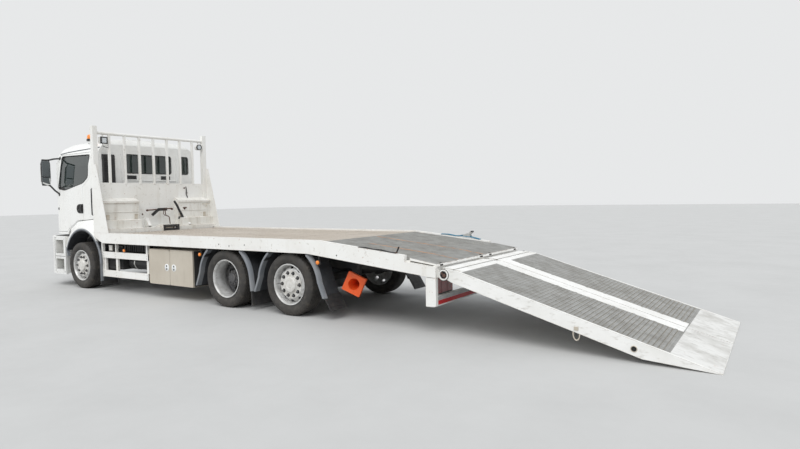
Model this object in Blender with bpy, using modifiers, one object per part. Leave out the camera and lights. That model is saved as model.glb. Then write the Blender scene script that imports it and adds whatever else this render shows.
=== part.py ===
"""Three-axle car transporter truck: a day cab, a fixed bed with a sloping tail and two loading ramps.

Stations along the truck are metres forward (+X) of the rearmost axle, heights are above the ground,
and widths are from the middle plane.  The whole model hangs from one empty that moves the origin
under the middle of the truck, from the front bumper to the toes of the lowered ramps.
"""
from math import atan, atan2, cos, hypot, pi, radians, sin, tan

import bmesh
import bpy
from mathutils import Matrix, Vector

# Fits and thicknesses shared by many pieces
SEAT = 0.0003                # gap between two pieces that rest on each other
RUN = 0.0008                 # gap of a bearing

# Wheels and axles
TYRE_RADIUS = 0.450
TYRE_WIDTH = 0.292
RIM_RADIUS = 0.2795          # seat of the tyre
FLANGE = 0.019               # height of the rim's flange over that seat
WHEEL_SIDES = 20
TWIN_SPACING = 0.330         # middle to middle of twin tyres
BOGIE = 1.350                # rearmost axle to drive axle
WHEELBASE = 4.200            # drive axle to front axle
STEER_LOCK = radians(32)

# Truck frame
RAIL_Y = 0.425               # outer face of a frame rail
RAIL_WIDTH = 0.075
RAIL_WALL = 0.010
RAIL_BOTTOM = 0.620
RAIL_TOP = 0.880
MEMBER_HALF = 0.040          # a cross member of the frame
MEMBER_Z = (RAIL_TOP - 0.120, RAIL_TOP - 0.040)
FRAME_FRONT = 6.900
FRAME_REAR = -1.900

# Bed
BED_HALF = 1.275             # outer face of the side rails
WHEEL_FACE = BED_HALF - 0.035    # outer wall of every tyre
KINGPIN_Y = WHEEL_FACE - 0.310
SIDE_RAIL = 0.060            # width of a side rail
SIDE_TOP = 1.103
SIDE_DEPTH = 0.190
BED_FRONT = 4.975
BEND_TOP = -0.606            # where the side rail's top starts to slope
BEND_BOTTOM = -0.409
SLOPE = 0.1050               # fall of the tail per metre
BED_END = -2.450
RAIL_STEP = -2.010           # the side rail is lower behind this station
STEP_DROP = 0.077
DECK_TOP = 1.080
DECK_THICK = 0.030
CROSS_PITCH = 0.780
HEAD_X = 4.930               # middle of the headboard's posts
HEAD_TOP = 3.109
HEAD_POST = 0.090
HEAD_TUBE_Z = 2.985
HEAD_PANEL_TOP = 2.048

# Ramps
HINGE_X = -2.558
HINGE_Z = 0.746
TOE_X = -5.450
RAMP_BEND = (-2.744, 0.795)  # where the ramp's top turns down
RAMP_DEPTH = 0.150
RAMP_GAP = 0.012             # from the middle plane to a ramp
RAMP_PLATE = 0.030
HINGE_RADIUS = 0.068
RAMP_STRIP = 0.240           # plain strip beside the middle plane
TOE_PLATE_X = -4.990         # where the grating ends
RIB_PITCH = 0.048
RIB_WIDTH = 0.036
RIB_DEPTH = 0.008

# Cab
CAB_HALF = 1.120
CAB_REAR = 5.070
CAB_FRONT = 6.950
CAB_WALL = 0.060
GUTTER = 2.690               # seam between the walls and the roof
BUMPER_HALF = 1.240
BUMPER_FRONT = 6.970
ARCH_RADIUS = 0.600          # opening for a steered front wheel
ARCH_CENTRE = (5.475, 0.530)

# Outlines of the cab: from the side, from above (half) and from the front (half)
CAB_SIDE = ((CAB_REAR, 1.360), (CAB_REAR, 2.800), (5.130, 2.900), (5.400, 2.942), (5.840, 2.945),
            (6.250, 2.885), (6.450, 2.780), (6.570, 2.620), (6.880, 1.930), (6.945, 1.750),
            (CAB_FRONT, 1.080), (6.900, 1.045), (6.200, 1.045), (6.130, 1.147), (5.820, 1.310),
            (5.300, 1.350))
CAB_PLAN = ((CAB_REAR, CAB_HALF - 0.100), (5.100, CAB_HALF - 0.030), (5.170, CAB_HALF),
            (6.480, CAB_HALF), (6.600, CAB_HALF - 0.015), (6.700, CAB_HALF - 0.070),
            (6.800, CAB_HALF - 0.190), (6.870, CAB_HALF - 0.370), (6.920, 0.450), (CAB_FRONT, 0.150))
CAB_FACE = ((CAB_HALF, 1.000), (CAB_HALF, 2.000), (CAB_HALF - 0.020, 2.400), (CAB_HALF - 0.055, 2.660),
            (CAB_HALF - 0.120, 2.765), (CAB_HALF - 0.240, 2.850), (CAB_HALF - 0.420, 2.905), (0.400, 2.938))
DOOR = ((6.620, 1.930), (6.590, 2.100), (6.480, 2.650), (5.330, 2.660), (5.330, 2.160), (5.600, 1.980),
        (5.600, 1.330), (5.830, 1.318), (6.150, 1.160), (6.230, 1.090), (6.640, 1.090))
DOOR_WINDOW = ((6.420, 2.617), (5.380, 2.606), (5.415, 2.163), (5.590, 2.057), (6.275, 1.931), (6.520, 1.965))
DOOR_GAP = 0.006
DOOR_DEPTH = CAB_HALF - 0.170    # from the middle plane to the inmost part of a door
SILL_Y = CAB_HALF - CAB_WALL     # the floor reaches out to here under a door
SILL_TOP = 1.500
SCREEN_HALF = CAB_HALF - 0.135
WINDSCREEN = (1.960, 2.600)      # heights of its lower and upper edges
REAR_WINDOW = (-0.500, 0.520, 2.250, 2.622)
QUARTER_WINDOW = (-0.925, -0.735, 2.255, 2.628)
PANE = (0.018, 0.026)            # depths of the two faces of a pane under the cab's skin
DASH_HALF = CAB_HALF - 0.130
TUNNEL_SKIN = 0.040
BEACON = (5.840, CAB_HALF - 0.340)   # middle of the roof's beacon
TUNNEL = (6.460, 0.380, 1.420)   # engine tunnel: front, half width and height of its space
TILT_X, TILT_Z = 6.870, 0.660    # axis about which the cab tilts
TILT_PIN = 0.017
CAB_REST = (5.085, 5.135)        # stations of the towers on which the tilting cab rests

FRONT_AXLE = BOGIE + WHEELBASE
AXLES = {"front": FRONT_AXLE, "drive": BOGIE, "tag": 0.0}
ORIGIN_X = (BUMPER_FRONT + TOE_X) / 2

for old in list(bpy.data.objects):
    bpy.data.objects.remove(old, do_unlink=True)

PARTS = bpy.data.collections.new("car_transporter_truck")
GUIDES = bpy.data.collections.new("guides")
for group in (PARTS, GUIDES):
    bpy.context.scene.collection.children.link(group)

# name: colour, roughness, metallic
FINISHES = {
    "white_paint": ((0.80, 0.80, 0.78), 0.35, 0.0),
    "bed_paint": ((0.78, 0.77, 0.72), 0.45, 0.0),
    "chassis_paint": ((0.05, 0.05, 0.055), 0.55, 0.0),
    "rubber": ((0.03, 0.03, 0.03), 0.85, 0.0),
    "wheel_paint": ((0.62, 0.63, 0.64), 0.40, 0.4),
    "grey_plastic": ((0.16, 0.17, 0.18), 0.60, 0.0),
    "black_plastic": ((0.025, 0.025, 0.027), 0.55, 0.0),
    "glass": ((0.06, 0.10, 0.10), 0.08, 0.0),
    "aluminium": ((0.62, 0.58, 0.52), 0.35, 0.9),
    "galvanised": ((0.42, 0.42, 0.41), 0.50, 0.8),
    "deck_wood": ((0.42, 0.36, 0.28), 0.80, 0.0),
    "orange_plastic": ((0.85, 0.18, 0.03), 0.50, 0.0),
    "seat_cloth": ((0.06, 0.065, 0.075), 0.90, 0.0),
}


def finish(name):
    """The Principled material of one finish, made once."""
    found = bpy.data.materials.get(name)
    if found:
        return found
    colour, rough, metal = FINISHES[name]
    made = bpy.data.materials.new(name)
    made.use_nodes = True
    shader = made.node_tree.nodes["Principled BSDF"]
    shader.inputs["Base Color"].default_value = (*colour, 1.0)
    shader.inputs["Roughness"].default_value = rough
    shader.inputs["Metallic"].default_value = metal
    return made


def guide(name, mesh):
    """An object that only shapes others."""
    made = bpy.data.objects.new(name, mesh)
    made.hide_render = True
    made.display_type = "WIRE"
    GUIDES.objects.link(made)
    return made


def from_bmesh(name, form):
    """A guide made from a bmesh, which is freed."""
    mesh = bpy.data.meshes.new(name)
    bmesh.ops.recalc_face_normals(form, faces=form.faces)
    form.to_mesh(mesh)
    form.free()
    return guide(name, mesh)


def box(x, y, z):
    """A block between three pairs of limits."""
    form = bmesh.new()
    bmesh.ops.create_cube(form, size=1.0)
    low, high = [Vector(pick(pair) for pair in (x, y, z)) for pick in (min, max)]
    bmesh.ops.scale(form, vec=high - low, verts=form.verts)
    bmesh.ops.translate(form, vec=(high + low) / 2, verts=form.verts)
    return from_bmesh("box", form)


def rod(start, end, radius, sides=16, end_radius=None):
    """A round bar, or a cone, between two points."""
    start, end = Vector(start), Vector(end)
    form = bmesh.new()
    bmesh.ops.create_cone(form, cap_ends=True, segments=sides, radius1=radius,
                          radius2=radius if end_radius is None else end_radius, depth=(end - start).length)
    turn = (end - start).to_track_quat("Z", "Y").to_matrix().to_4x4()
    bmesh.ops.transform(form, matrix=Matrix.Translation((start + end) / 2) @ turn, verts=form.verts)
    return from_bmesh("rod", form)


# For each plane of an outline: the matrix that takes its two axes and its depth to X, Y and Z
PLANES = {
    "XZ": Matrix(((1, 0, 0, 0), (0, 0, -1, 0), (0, 1, 0, 0), (0, 0, 0, 1))),
    "XY": Matrix.Identity(4),
    "YZ": Matrix(((0, 0, 1, 0), (1, 0, 0, 0), (0, 1, 0, 0), (0, 0, 0, 1))),
}


def prism(points, depth, plane="XZ"):
    """A flat outline given thickness between two depths across its plane."""
    curve = bpy.data.curves.new("outline", "CURVE")
    curve.dimensions = "2D"
    curve.fill_mode = "BOTH"
    curve.extrude = abs(depth[1] - depth[0]) / 2
    spline = curve.splines.new("POLY")
    spline.points.add(len(points) - 1)
    spline.points.foreach_set("co", [value for u, v in points for value in (u, v, 0.0, 1.0)])
    spline.use_cyclic_u = True
    flat = bpy.data.objects.new("outline", curve)
    GUIDES.objects.link(flat)
    solid = guide("prism", as_mesh(flat, True))
    middle = (depth[0] + depth[1]) / 2 * (-1 if plane == "XZ" else 1)
    solid.data.transform(PLANES[plane] @ Matrix.Translation((0, 0, middle)))
    return solid


def as_mesh(shape, face_out=False):
    """The evaluated mesh of an object, welded, in world space; the object is removed."""
    bpy.context.view_layer.update()
    graph = bpy.context.evaluated_depsgraph_get()
    mesh = bpy.data.meshes.new_from_object(shape.evaluated_get(graph), depsgraph=graph)
    mesh.transform(shape.matrix_world)
    form = bmesh.new()
    form.from_mesh(mesh)
    bmesh.ops.remove_doubles(form, verts=form.verts, dist=1e-6)
    bmesh.ops.dissolve_degenerate(form, dist=1e-6, edges=form.edges)
    if face_out:
        bmesh.ops.recalc_face_normals(form, faces=form.faces)
    form.to_mesh(mesh)
    form.free()
    bpy.data.objects.remove(shape, do_unlink=True)
    return mesh


def turned(profile, centre, outward=1, sides=WHEEL_SIDES):
    """A body turned about a line along Y: profile rows are radius and distance outward of centre."""
    mesh = bpy.data.meshes.new("turned")
    rows = [(radius, 0.0, along) for radius, along in profile]
    closed = profile[0][0] > 0
    edges = [(i, i + 1) for i in range(len(rows) - 1)] + ([(len(rows) - 1, 0)] if closed else [])
    mesh.from_pydata(rows, edges, [])
    shape = guide("turned", mesh)
    screw = shape.modifiers.new("turn", "SCREW")
    screw.steps = screw.render_steps = sides
    screw.use_merge_vertices = True
    screw.merge_threshold = 0.0001
    solid = guide("turned", as_mesh(shape, True))
    solid.data.transform(Matrix.Translation(centre) @ Matrix.Rotation(-outward * pi / 2, 4, "X"))
    return solid


def joined(shapes):
    """One guide that holds the faces of several; the several are removed."""
    form = bmesh.new()
    for shape in shapes:
        form.from_mesh(shape.data)
        bpy.data.objects.remove(shape, do_unlink=True)
    mesh = bpy.data.meshes.new("joined")
    form.to_mesh(mesh)
    form.free()
    return guide("joined", mesh)


def combined(shape, others, operation):
    """A guide cut, joined or limited by others."""
    tool = joined(others)
    step = shape.modifiers.new("combine", "BOOLEAN")
    step.operation = operation
    step.solver = "EXACT"
    step.use_self = True
    step.object = tool
    result = guide(shape.name, as_mesh(shape))
    bpy.data.objects.remove(tool, do_unlink=True)
    return result


def fused(shapes):
    """Several overlapping guides as one."""
    return combined(joined(shapes[:-1]), shapes[-1:], "UNION") if len(shapes) > 1 else shapes[0]


def cut(shape, *cutters):
    """A guide less its cutters."""
    return combined(shape, list(cutters), "DIFFERENCE")


def common(shape, limit):
    """What two guides share."""
    return combined(shape, [limit], "INTERSECT")


def mirrored(shape):
    """A copy of a guide on the other side of the middle plane."""
    mesh = shape.data.copy()
    mesh.transform(Matrix.Diagonal((1, -1, 1, 1)))
    mesh.flip_normals()
    return guide("mirrored", mesh)


def pivot(name, place, parent):
    """An empty at a joint's axis; its place is kept in truck coordinates."""
    empty = bpy.data.objects.new(name, None)
    empty.empty_display_size = 0.1
    empty.parent = parent
    empty.location = Vector(place) - (Vector(parent["place"]) if parent else Vector((0, 0, 0)))
    empty["place"] = tuple(place)
    PARTS.objects.link(empty)
    return empty


def piece(name, shape, finish_name, parent=None, smooth=0):
    """Make a guide a sub-part of the truck, hung from a pivot."""
    parent = parent or TRUCK
    mesh = shape.data
    mesh.transform(Matrix.Translation(-Vector(parent["place"])))
    mesh.name = name
    mesh.materials.clear()
    mesh.materials.append(finish(finish_name))
    if smooth:
        mesh.shade_smooth()
        mesh.set_sharp_from_angle(angle=radians(smooth))
    made = bpy.data.objects.new(name, mesh)
    made.parent = parent
    PARTS.objects.link(made)
    bpy.data.objects.remove(shape, do_unlink=True)
    return made


def both(name, shape, finish_name, parents=(None, None), smooth=0):
    """A left piece and its mirror image."""
    twin = mirrored(shape)
    piece(f"{name}_left", shape, finish_name, parents[0], smooth)
    piece(f"{name}_right", twin, finish_name, parents[1], smooth)


def arc(centre, radius, start, end, steps):
    """Points on an arc, angles in degrees, both ends included."""
    angles = [radians(start + (end - start) * i / steps) for i in range(steps + 1)]
    return [(centre[0] + radius * cos(a), centre[1] + radius * sin(a)) for a in angles]


TRUCK = pivot("truck", (0, 0, 0), None)
TRUCK.location.x = -ORIGIN_X


def channel(x, side):
    """A frame rail open towards the middle, between two stations."""
    outer, inner = side * RAIL_Y, side * (RAIL_Y - RAIL_WIDTH)
    return [box(x, (outer, outer - side * RAIL_WALL), (RAIL_BOTTOM, RAIL_TOP)),
            box(x, (outer, inner), (RAIL_BOTTOM, RAIL_BOTTOM + RAIL_WALL)),
            box(x, (outer, inner), (RAIL_TOP - RAIL_WALL, RAIL_TOP))]


def truck_frame():
    """Two channel rails. The right one carries the cross members, whose free ends meet the left one."""
    places = (FRAME_REAR + 0.05, -0.75, 0.68, 2.10, 3.30, 4.10, FRAME_FRONT - 0.06)
    reach = (-RAIL_Y + RAIL_WALL / 2, RAIL_Y - RAIL_WALL - SEAT)
    members = [box((x - MEMBER_HALF, x + MEMBER_HALF), reach, MEMBER_Z) for x in places]
    for name, side, carried in (("chassis_frame", -1, members), ("frame_rail_left", 1, [])):
        shapes = channel((FRAME_REAR, FRAME_FRONT), side) + carried
        shapes.append(box(CAB_REST, (side * (RAIL_Y - 0.001), side * (RAIL_Y + 0.070)),
                          (RAIL_TOP - 0.15, CAB_SIDE[0][1] - 0.0030)))
        shapes.append(rod((TILT_X, side * (RAIL_Y - 0.005), TILT_Z),
                          (TILT_X, side * (RAIL_Y + 0.075), TILT_Z), TILT_PIN, 12))
        piece(name, fused(shapes), "chassis_paint")


def power_train():
    """The engine as one block, and the gearbox with its shaft to the drive axle."""
    inside = RAIL_Y - RAIL_WIDTH
    block = ((5.15, 6.35), (-inside + 0.03, inside - 0.03), (0.60, 1.28))
    feet = [box((x, x + 0.10), (-inside - 0.04, inside + 0.04), (RAIL_TOP + SEAT, RAIL_TOP + 0.08))
            for x in (5.25, 6.10)]
    shaft = [rod((5.20, 0, 0.735), (4.20, 0, 0.67), 0.18, 14, 0.12),
             rod((4.25, 0, 0.67), (BOGIE + 0.34, 0, 0.475), 0.055, 8)]
    piece("engine_and_shaft", fused([box(*block)] + feet + shaft), "chassis_paint")


SPRING_Y = 0.385             # middle of a spring, under the rail
SPRING_WIDTH = 0.075
AXLE_TUBE = 0.065


def leaf_spring(x, half_length, low, top):
    """A bowed pack of leaves that reaches the rail's underside at both ends."""
    rise = top - low
    radius = (half_length ** 2 + rise ** 2) / (2 * rise)
    angle = atan2(half_length, radius - rise)
    sweep = (-pi / 2 - angle, -pi / 2 + angle)
    centre = (x, low + radius)
    under = arc(centre, radius, degrees_of(sweep[0]), degrees_of(sweep[1]), 8)
    above = arc(centre, radius - 0.07, degrees_of(sweep[1]), degrees_of(sweep[0]), 8)
    return under + above


def degrees_of(angle):
    return angle * 180 / pi


def sprung_axle(name, x, shapes, half_length):
    """An axle fused to two leaf packs that hang under the frame rails."""
    low = TYRE_RADIUS - 0.02
    for side in (1, -1):
        limits = (side * (SPRING_Y - SPRING_WIDTH / 2), side * (SPRING_Y + SPRING_WIDTH / 2))
        shapes.append(prism(leaf_spring(x, half_length, low, RAIL_BOTTOM - 0.11), limits))
        for end in (-1, 1):
            place = x + end * half_length
            shapes.append(box((place - 0.05, place + 0.05), limits, (RAIL_BOTTOM - 0.13, RAIL_BOTTOM - SEAT)))
    piece(name, fused(shapes), "chassis_paint")


# Distances outward of the middle of a single wheel
WHEEL_Y = WHEEL_FACE - TYRE_WIDTH / 2
BOSS_HALF = 0.070            # half the height of a kingpin's boss
HUB_BACK = -0.045            # face of the hub that its bearing meets
DRIVE_Y = WHEEL_Y - TWIN_SPACING / 2
DRIVE_HUB_BACK = -0.075


def axles():
    """The three axles; the front one ends in the bosses of its kingpins."""
    bend = KINGPIN_Y - 0.28
    beam = []
    for side in (1, -1):
        beam += [box((FRONT_AXLE - 0.045, FRONT_AXLE + 0.045), (side * (bend - 0.05), side * KINGPIN_Y),
                     (TYRE_RADIUS - 0.055, TYRE_RADIUS + 0.055)),
                 rod((FRONT_AXLE, side * KINGPIN_Y, TYRE_RADIUS - BOSS_HALF),
                     (FRONT_AXLE, side * KINGPIN_Y, TYRE_RADIUS + BOSS_HALF), 0.050, 12)]
    beam.append(box((FRONT_AXLE - 0.044, FRONT_AXLE + 0.044), (-bend, bend),
                    (TYRE_RADIUS - 0.11, TYRE_RADIUS + 0.01)))
    sprung_axle("front_axle", FRONT_AXLE, beam, 0.80)

    end = DRIVE_Y + DRIVE_HUB_BACK - RUN
    drive = [rod((BOGIE, -end, TYRE_RADIUS), (BOGIE, end, TYRE_RADIUS), AXLE_TUBE, 14),
             rod((BOGIE, -0.13, TYRE_RADIUS), (BOGIE, 0.13, TYRE_RADIUS), 0.21, 20),
             rod((BOGIE, 0, TYRE_RADIUS), (BOGIE + 0.34 - SEAT, 0, TYRE_RADIUS + 0.025), 0.13, 14, 0.08)]
    sprung_axle("drive_axle", BOGIE, drive, 0.56)

    end = WHEEL_Y + HUB_BACK - RUN
    tag = [rod((0, -end, TYRE_RADIUS), (0, end, TYRE_RADIUS), AXLE_TUBE, 14)]
    for side in (1, -1):
        tag.append(rod((0, side * (end - 0.10), TYRE_RADIUS), (0, side * end, TYRE_RADIUS), 0.11, 16))
    sprung_axle("tag_axle", 0.0, tag, 0.56)


def knuckle(parent_left, parent_right):
    """The fork that turns about the kingpin's boss and carries the wheel's bearing."""
    web = KINGPIN_Y + 0.065
    end = WHEEL_Y + HUB_BACK - RUN
    shapes = [box((FRONT_AXLE - 0.05, FRONT_AXLE + 0.05), (KINGPIN_Y - 0.05, web + 0.03), limits)
              for limits in ((TYRE_RADIUS + BOSS_HALF + RUN, TYRE_RADIUS + 0.108),
                             (TYRE_RADIUS - 0.108, TYRE_RADIUS - BOSS_HALF - RUN))]
    shapes += [box((FRONT_AXLE - 0.049, FRONT_AXLE + 0.049), (web, web + 0.03),
                   (TYRE_RADIUS - 0.10, TYRE_RADIUS + 0.10)),
               rod((FRONT_AXLE, web + 0.01, TYRE_RADIUS), (FRONT_AXLE, end, TYRE_RADIUS), 0.075, 16)]
    both("knuckle", fused(shapes), "chassis_paint", (parent_left, parent_right))


# Tyre outline from the bead out to the tread: radius less the seat's, share of half the width
TYRE_WALL = ((0.0015, 0.715), (0.0205, 0.720), (0.034, 0.890), (0.095, 1.0), (0.152, 0.890))
SHOULDER = 0.64              # share of half the width where the tread starts


def tyre(centre, outward):
    half = TYRE_WIDTH / 2
    wall = [(RIM_RADIUS + rise, half * share) for rise, share in TYRE_WALL]
    wall.append((TYRE_RADIUS, half * SHOULDER))
    return turned(wall + [(radius, -along) for radius, along in reversed(wall)], centre, outward)


BARREL_HALF = 0.118          # half the width of a rim over its flanges
LIP = 0.012
SHEET = 0.010


def barrel(middle, sign):
    """The outer side of a rim, from its outboard flange to its inboard one."""
    high = RIM_RADIUS + FLANGE
    rows = [(high, BARREL_HALF), (high, BARREL_HALF - LIP), (RIM_RADIUS, BARREL_HALF - LIP),
            (RIM_RADIUS, -BARREL_HALF)]
    if sign < 0:
        rows = [(radius, -along) for radius, along in reversed(rows)]
    return [(radius, middle + along) for radius, along in rows]


# Hub and disc of each kind of wheel, radius and distance outward of the wheel's middle,
# from the disc's outer edge to the axis on the outboard side, and back again on the inboard side
FRONT_DISC = (((0.266, 0.060), (0.215, 0.098), (0.115, 0.106), (0.105, 0.138), (0.0, 0.142)),
              ((0.0, HUB_BACK), (0.120, HUB_BACK), (0.130, 0.090), (0.215, 0.084), (0.262, 0.045)))
TAG_DISC = (((0.266, 0.040), (0.205, 0.082), (0.100, 0.086), (0.088, 0.118), (0.0, 0.124)),
            ((0.0, HUB_BACK), (0.120, HUB_BACK), (0.130, 0.070), (0.205, 0.068), (0.262, 0.026)))


def single_rim(disc, centre, outward):
    """Rim, disc and hub of a single wheel as one turned body."""
    inner = RIM_RADIUS - SHEET
    face, back = disc
    rows = list(face)[::-1] + [(inner, BARREL_HALF)] + barrel(0.0, 1)
    rows += [(inner, -BARREL_HALF)] + list(back)[::-1]
    return turned(rows, centre, outward)


TWIN_HUB = ((0.0, 0.175), (0.070, 0.170), (0.105, 0.140), (0.118, 0.020))


def twin_rim(centre, outward):
    """The rims of twin wheels, bolted disc to disc on one hub."""
    inner, offset = RIM_RADIUS - SHEET, TWIN_SPACING / 2
    rows = list(TWIN_HUB) + [(0.225, 0.018), (inner, offset - 0.075), (inner, offset + BARREL_HALF)]
    rows += barrel(offset, 1) + [(0.258, 0.012), (0.258, -0.012)] + barrel(-offset, -1)
    rows += [(inner, -offset - BARREL_HALF), (inner, 0.075 - offset), (0.225, -0.018), (0.130, -0.020),
             (0.120, DRIVE_HUB_BACK), (0.0, DRIVE_HUB_BACK)]
    return turned(rows, centre, outward)


def wheels(pivots):
    """Tyres and rims of all three axles."""
    for axle, disc in (("front", FRONT_DISC), ("tag", TAG_DISC)):
        centre = (AXLES[axle], WHEEL_Y, TYRE_RADIUS)
        both(f"{axle}_tyre", tyre(centre, 1), "rubber", pivots[axle], 35)
        both(f"{axle}_rim", single_rim(disc, centre, 1), "wheel_paint", pivots[axle], 35)
    centre = (BOGIE, DRIVE_Y, TYRE_RADIUS)
    for name, offset in (("outer", TWIN_SPACING / 2), ("inner", -TWIN_SPACING / 2)):
        place = (BOGIE, DRIVE_Y + offset, TYRE_RADIUS)
        both(f"drive_{name}_tyre", tyre(place, 1), "rubber", pivots["drive"], 35)
    both("drive_rim", twin_rim(centre, 1), "wheel_paint", pivots["drive"], 35)


def run_gear():
    """The pivots of steering and wheels, and what turns on them."""
    steer, pivots = [], {}
    for side, word in ((1, "left"), (-1, "right")):
        steer.append(pivot(f"steer_{word}", (FRONT_AXLE, side * KINGPIN_Y, TYRE_RADIUS), TRUCK))
    for axle, x in AXLES.items():
        middle = DRIVE_Y if axle == "drive" else WHEEL_Y
        pivots[axle] = [pivot(f"{axle}_wheel_{word}", (x, side * middle, TYRE_RADIUS),
                              steer[index] if axle == "front" else TRUCK)
                        for index, (side, word) in enumerate(((1, "left"), (-1, "right")))]
    axles()
    knuckle(*steer)
    wheels(pivots)


truck_frame()
power_train()
run_gear()


CROSS_DEPTH = 0.070          # height of a cross bearer under the deck
SUBFRAME_Y = 0.385
DECK_UNDER = DECK_TOP - DECK_THICK


def tail(z, x, bend=BEND_TOP):
    """Height of a line that is level up to the bend and falls behind it."""
    return z - SLOPE * max(0.0, bend - x)


def side_rail_outline():
    """The side rail with its step near the rear."""
    low = SIDE_TOP - SIDE_DEPTH
    step = tail(SIDE_TOP, RAIL_STEP)
    return [(BED_FRONT, SIDE_TOP), (BEND_TOP, SIDE_TOP), (RAIL_STEP, step), (RAIL_STEP, step - STEP_DROP),
            (BED_END, tail(SIDE_TOP, BED_END) - STEP_DROP), (BED_END, tail(low, BED_END, BEND_BOTTOM)),
            (BEND_BOTTOM, low), (FENDER_TOP_X, low), (BED_FRONT, FRONT_BEAM + 0.055)]


POST_FRONT = -2.310
POST_BOTTOM = 0.350
LOCKER_HALF = 0.450          # inner side of a locker, from the middle plane
LOCKER_FRONT = 4.620
END_BEAM = 0.700             # underside of the bed's last cross beam
END_DECK = RAIL_STEP - 0.06  # behind it the deck is a plain plate, level with the low rail
HINGE_EAR = 0.036            # thickness of a hinge ear
EAR_RADIUS = 0.045
FRONT_BEAM = 0.985           # underside of the bed's first cross beam, over the front wheels
FENDER_TOP_X = 4.700         # the bed's lower edge rises from here to its front
EAR_OUT = BED_HALF - 0.042   # outer face of the outer hinge ear
PIN = 0.020


def bed_frame():
    """Side rails, long bearers on the truck frame and cross bearers, welded into one."""
    low, high = RAIL_TOP + SEAT, DECK_UNDER - SEAT
    inside = BED_HALF - SIDE_RAIL / 2
    shapes = [box((BED_FRONT - 0.06, BED_FRONT), (-inside, inside), (FRONT_BEAM, high))]
    start, end = BED_FRONT - 0.03, BED_END + 0.02
    bearer = [(start, high - 0.01), (BEND_TOP, high - 0.01), (end, tail(high - 0.01, BED_END)),
              (end, tail(DECK_UNDER - CROSS_DEPTH - 0.06, BED_END)), (FRAME_REAR - 0.02, low),
              (FENDER_TOP_X, low), (start, FRONT_BEAM + 0.001)]
    for side in (1, -1):
        shapes.append(prism(side_rail_outline(), (side * BED_HALF, side * (BED_HALF - SIDE_RAIL))))
        shapes.append(prism(bearer, (side * (SUBFRAME_Y - 0.03), side * (SUBFRAME_Y + 0.03))))
    count = int((BED_FRONT - BED_END) / CROSS_PITCH)
    for index in range(1, count + 1):
        x = BED_FRONT - index * CROSS_PITCH
        top = tail(high, x - 0.03) - 0.0005
        shapes.append(box((x - 0.03, x + 0.03), (-inside, inside), (top - CROSS_DEPTH, top)))
    shapes.append(box((BED_END, BED_END + 0.05), (-inside, inside), (END_BEAM, tail(high, BED_END) - 0.012)))
    plate = [(END_DECK - SEAT, tail(DECK_TOP, END_DECK) - 0.004),
             (BED_END + 0.001, tail(DECK_TOP, BED_END) - 0.022),
             (BED_END + 0.001, tail(DECK_UNDER, BED_END) - 0.013),
             (END_DECK - SEAT, tail(DECK_UNDER, END_DECK) - 0.004)]
    shapes.append(prism(plate, (-inside - 0.001, inside + 0.001)))
    ear = [(BED_END + 0.03, HINGE_Z + EAR_RADIUS)] + arc((HINGE_X, HINGE_Z), EAR_RADIUS, 90, 270, 8)
    ear.append((BED_END + 0.03, HINGE_Z - EAR_RADIUS))
    for side in (1, -1):
        for outer in (EAR_OUT, RAMP_GAP + 0.006 + HINGE_EAR):
            shapes.append(prism(ear, (side * outer, side * (outer - HINGE_EAR))))
        limits = (BED_HALF, EAR_OUT - HINGE_EAR - 0.040)
        shapes.append(rod(*[(HINGE_X, side * y, HINGE_Z) for y in limits], PIN, 12))
    piece("bed_frame", fused(shapes), "bed_paint")


def rear_posts():
    """The two corner posts and the underrun bar between them."""
    under = tail(SIDE_TOP - SIDE_DEPTH, BED_END, BEND_BOTTOM) - SEAT - 0.001
    shapes = []
    for side in (1, -1):
        shapes.append(prism([(POST_FRONT, under), (BED_END, under), (BED_END, POST_BOTTOM + 0.01),
                             (BED_END + 0.03, POST_BOTTOM), (POST_FRONT, POST_BOTTOM)],
                            (side * BED_HALF, side * (BED_HALF - 0.055))))
    shapes.append(box((BED_END + 0.004, BED_END + 0.060), (-BED_HALF + 0.03, BED_HALF - 0.03),
                      (POST_BOTTOM + 0.005, POST_BOTTOM + 0.125)))
    for side in (1, -1):
        shapes.append(box((BED_END + 0.01, BED_END + 0.055),
                          (side * (SUBFRAME_Y - 0.035), side * (SUBFRAME_Y + 0.035)),
                          (POST_BOTTOM + 0.10, END_BEAM - SEAT)))
        shapes.append(box((BED_END + 0.050, BED_END + 0.105),
                          (side * (BED_HALF - 0.495), side * (BED_HALF - 0.075)),
                          (POST_BOTTOM + 0.115, POST_BOTTOM + 0.235)))
    piece("rear_underrun", fused(shapes), "bed_paint")


def comb(front, rear, low, high, pitch, width, depth):
    """Outline of a ribbed plate: flat below, ribs on top, along a straight line from front to rear."""
    rows = [(front, low(front)), (front, high(front))]
    count = int((front - rear - width) / pitch)
    start = front - (front - rear - count * pitch - width) / 2
    for index in range(count):
        x = start - index * pitch - width
        gap = pitch - width
        rows += [(x, high(x)), (x, high(x) - depth)]
        rows += [(x - gap, high(x - gap) - depth), (x - gap, high(x - gap))]
    return rows + [(rear, high(rear)), (rear, low(rear))]


def decks():
    """The wooden deck on the level bed, and the ribbed one with its plain end on the tail."""
    half = BED_HALF - SIDE_RAIL - SEAT
    wood = box((LOCKER_FRONT - 0.036, BEND_TOP + SEAT), (-half, half), (DECK_UNDER, DECK_TOP))
    piece("wood_deck", wood, "deck_wood")
    low, high = (lambda x: tail(DECK_UNDER, x)), (lambda x: tail(DECK_TOP, x))
    ribs = comb(BEND_TOP - SEAT, END_DECK, low, high, RIB_PITCH, RIB_WIDTH, RIB_DEPTH)
    piece("slope_deck", prism(ribs, (-half, half)), "galvanised")


BARS = 7
GUSSET = ((4.822, 2.382), (4.490, 1.104))


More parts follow.
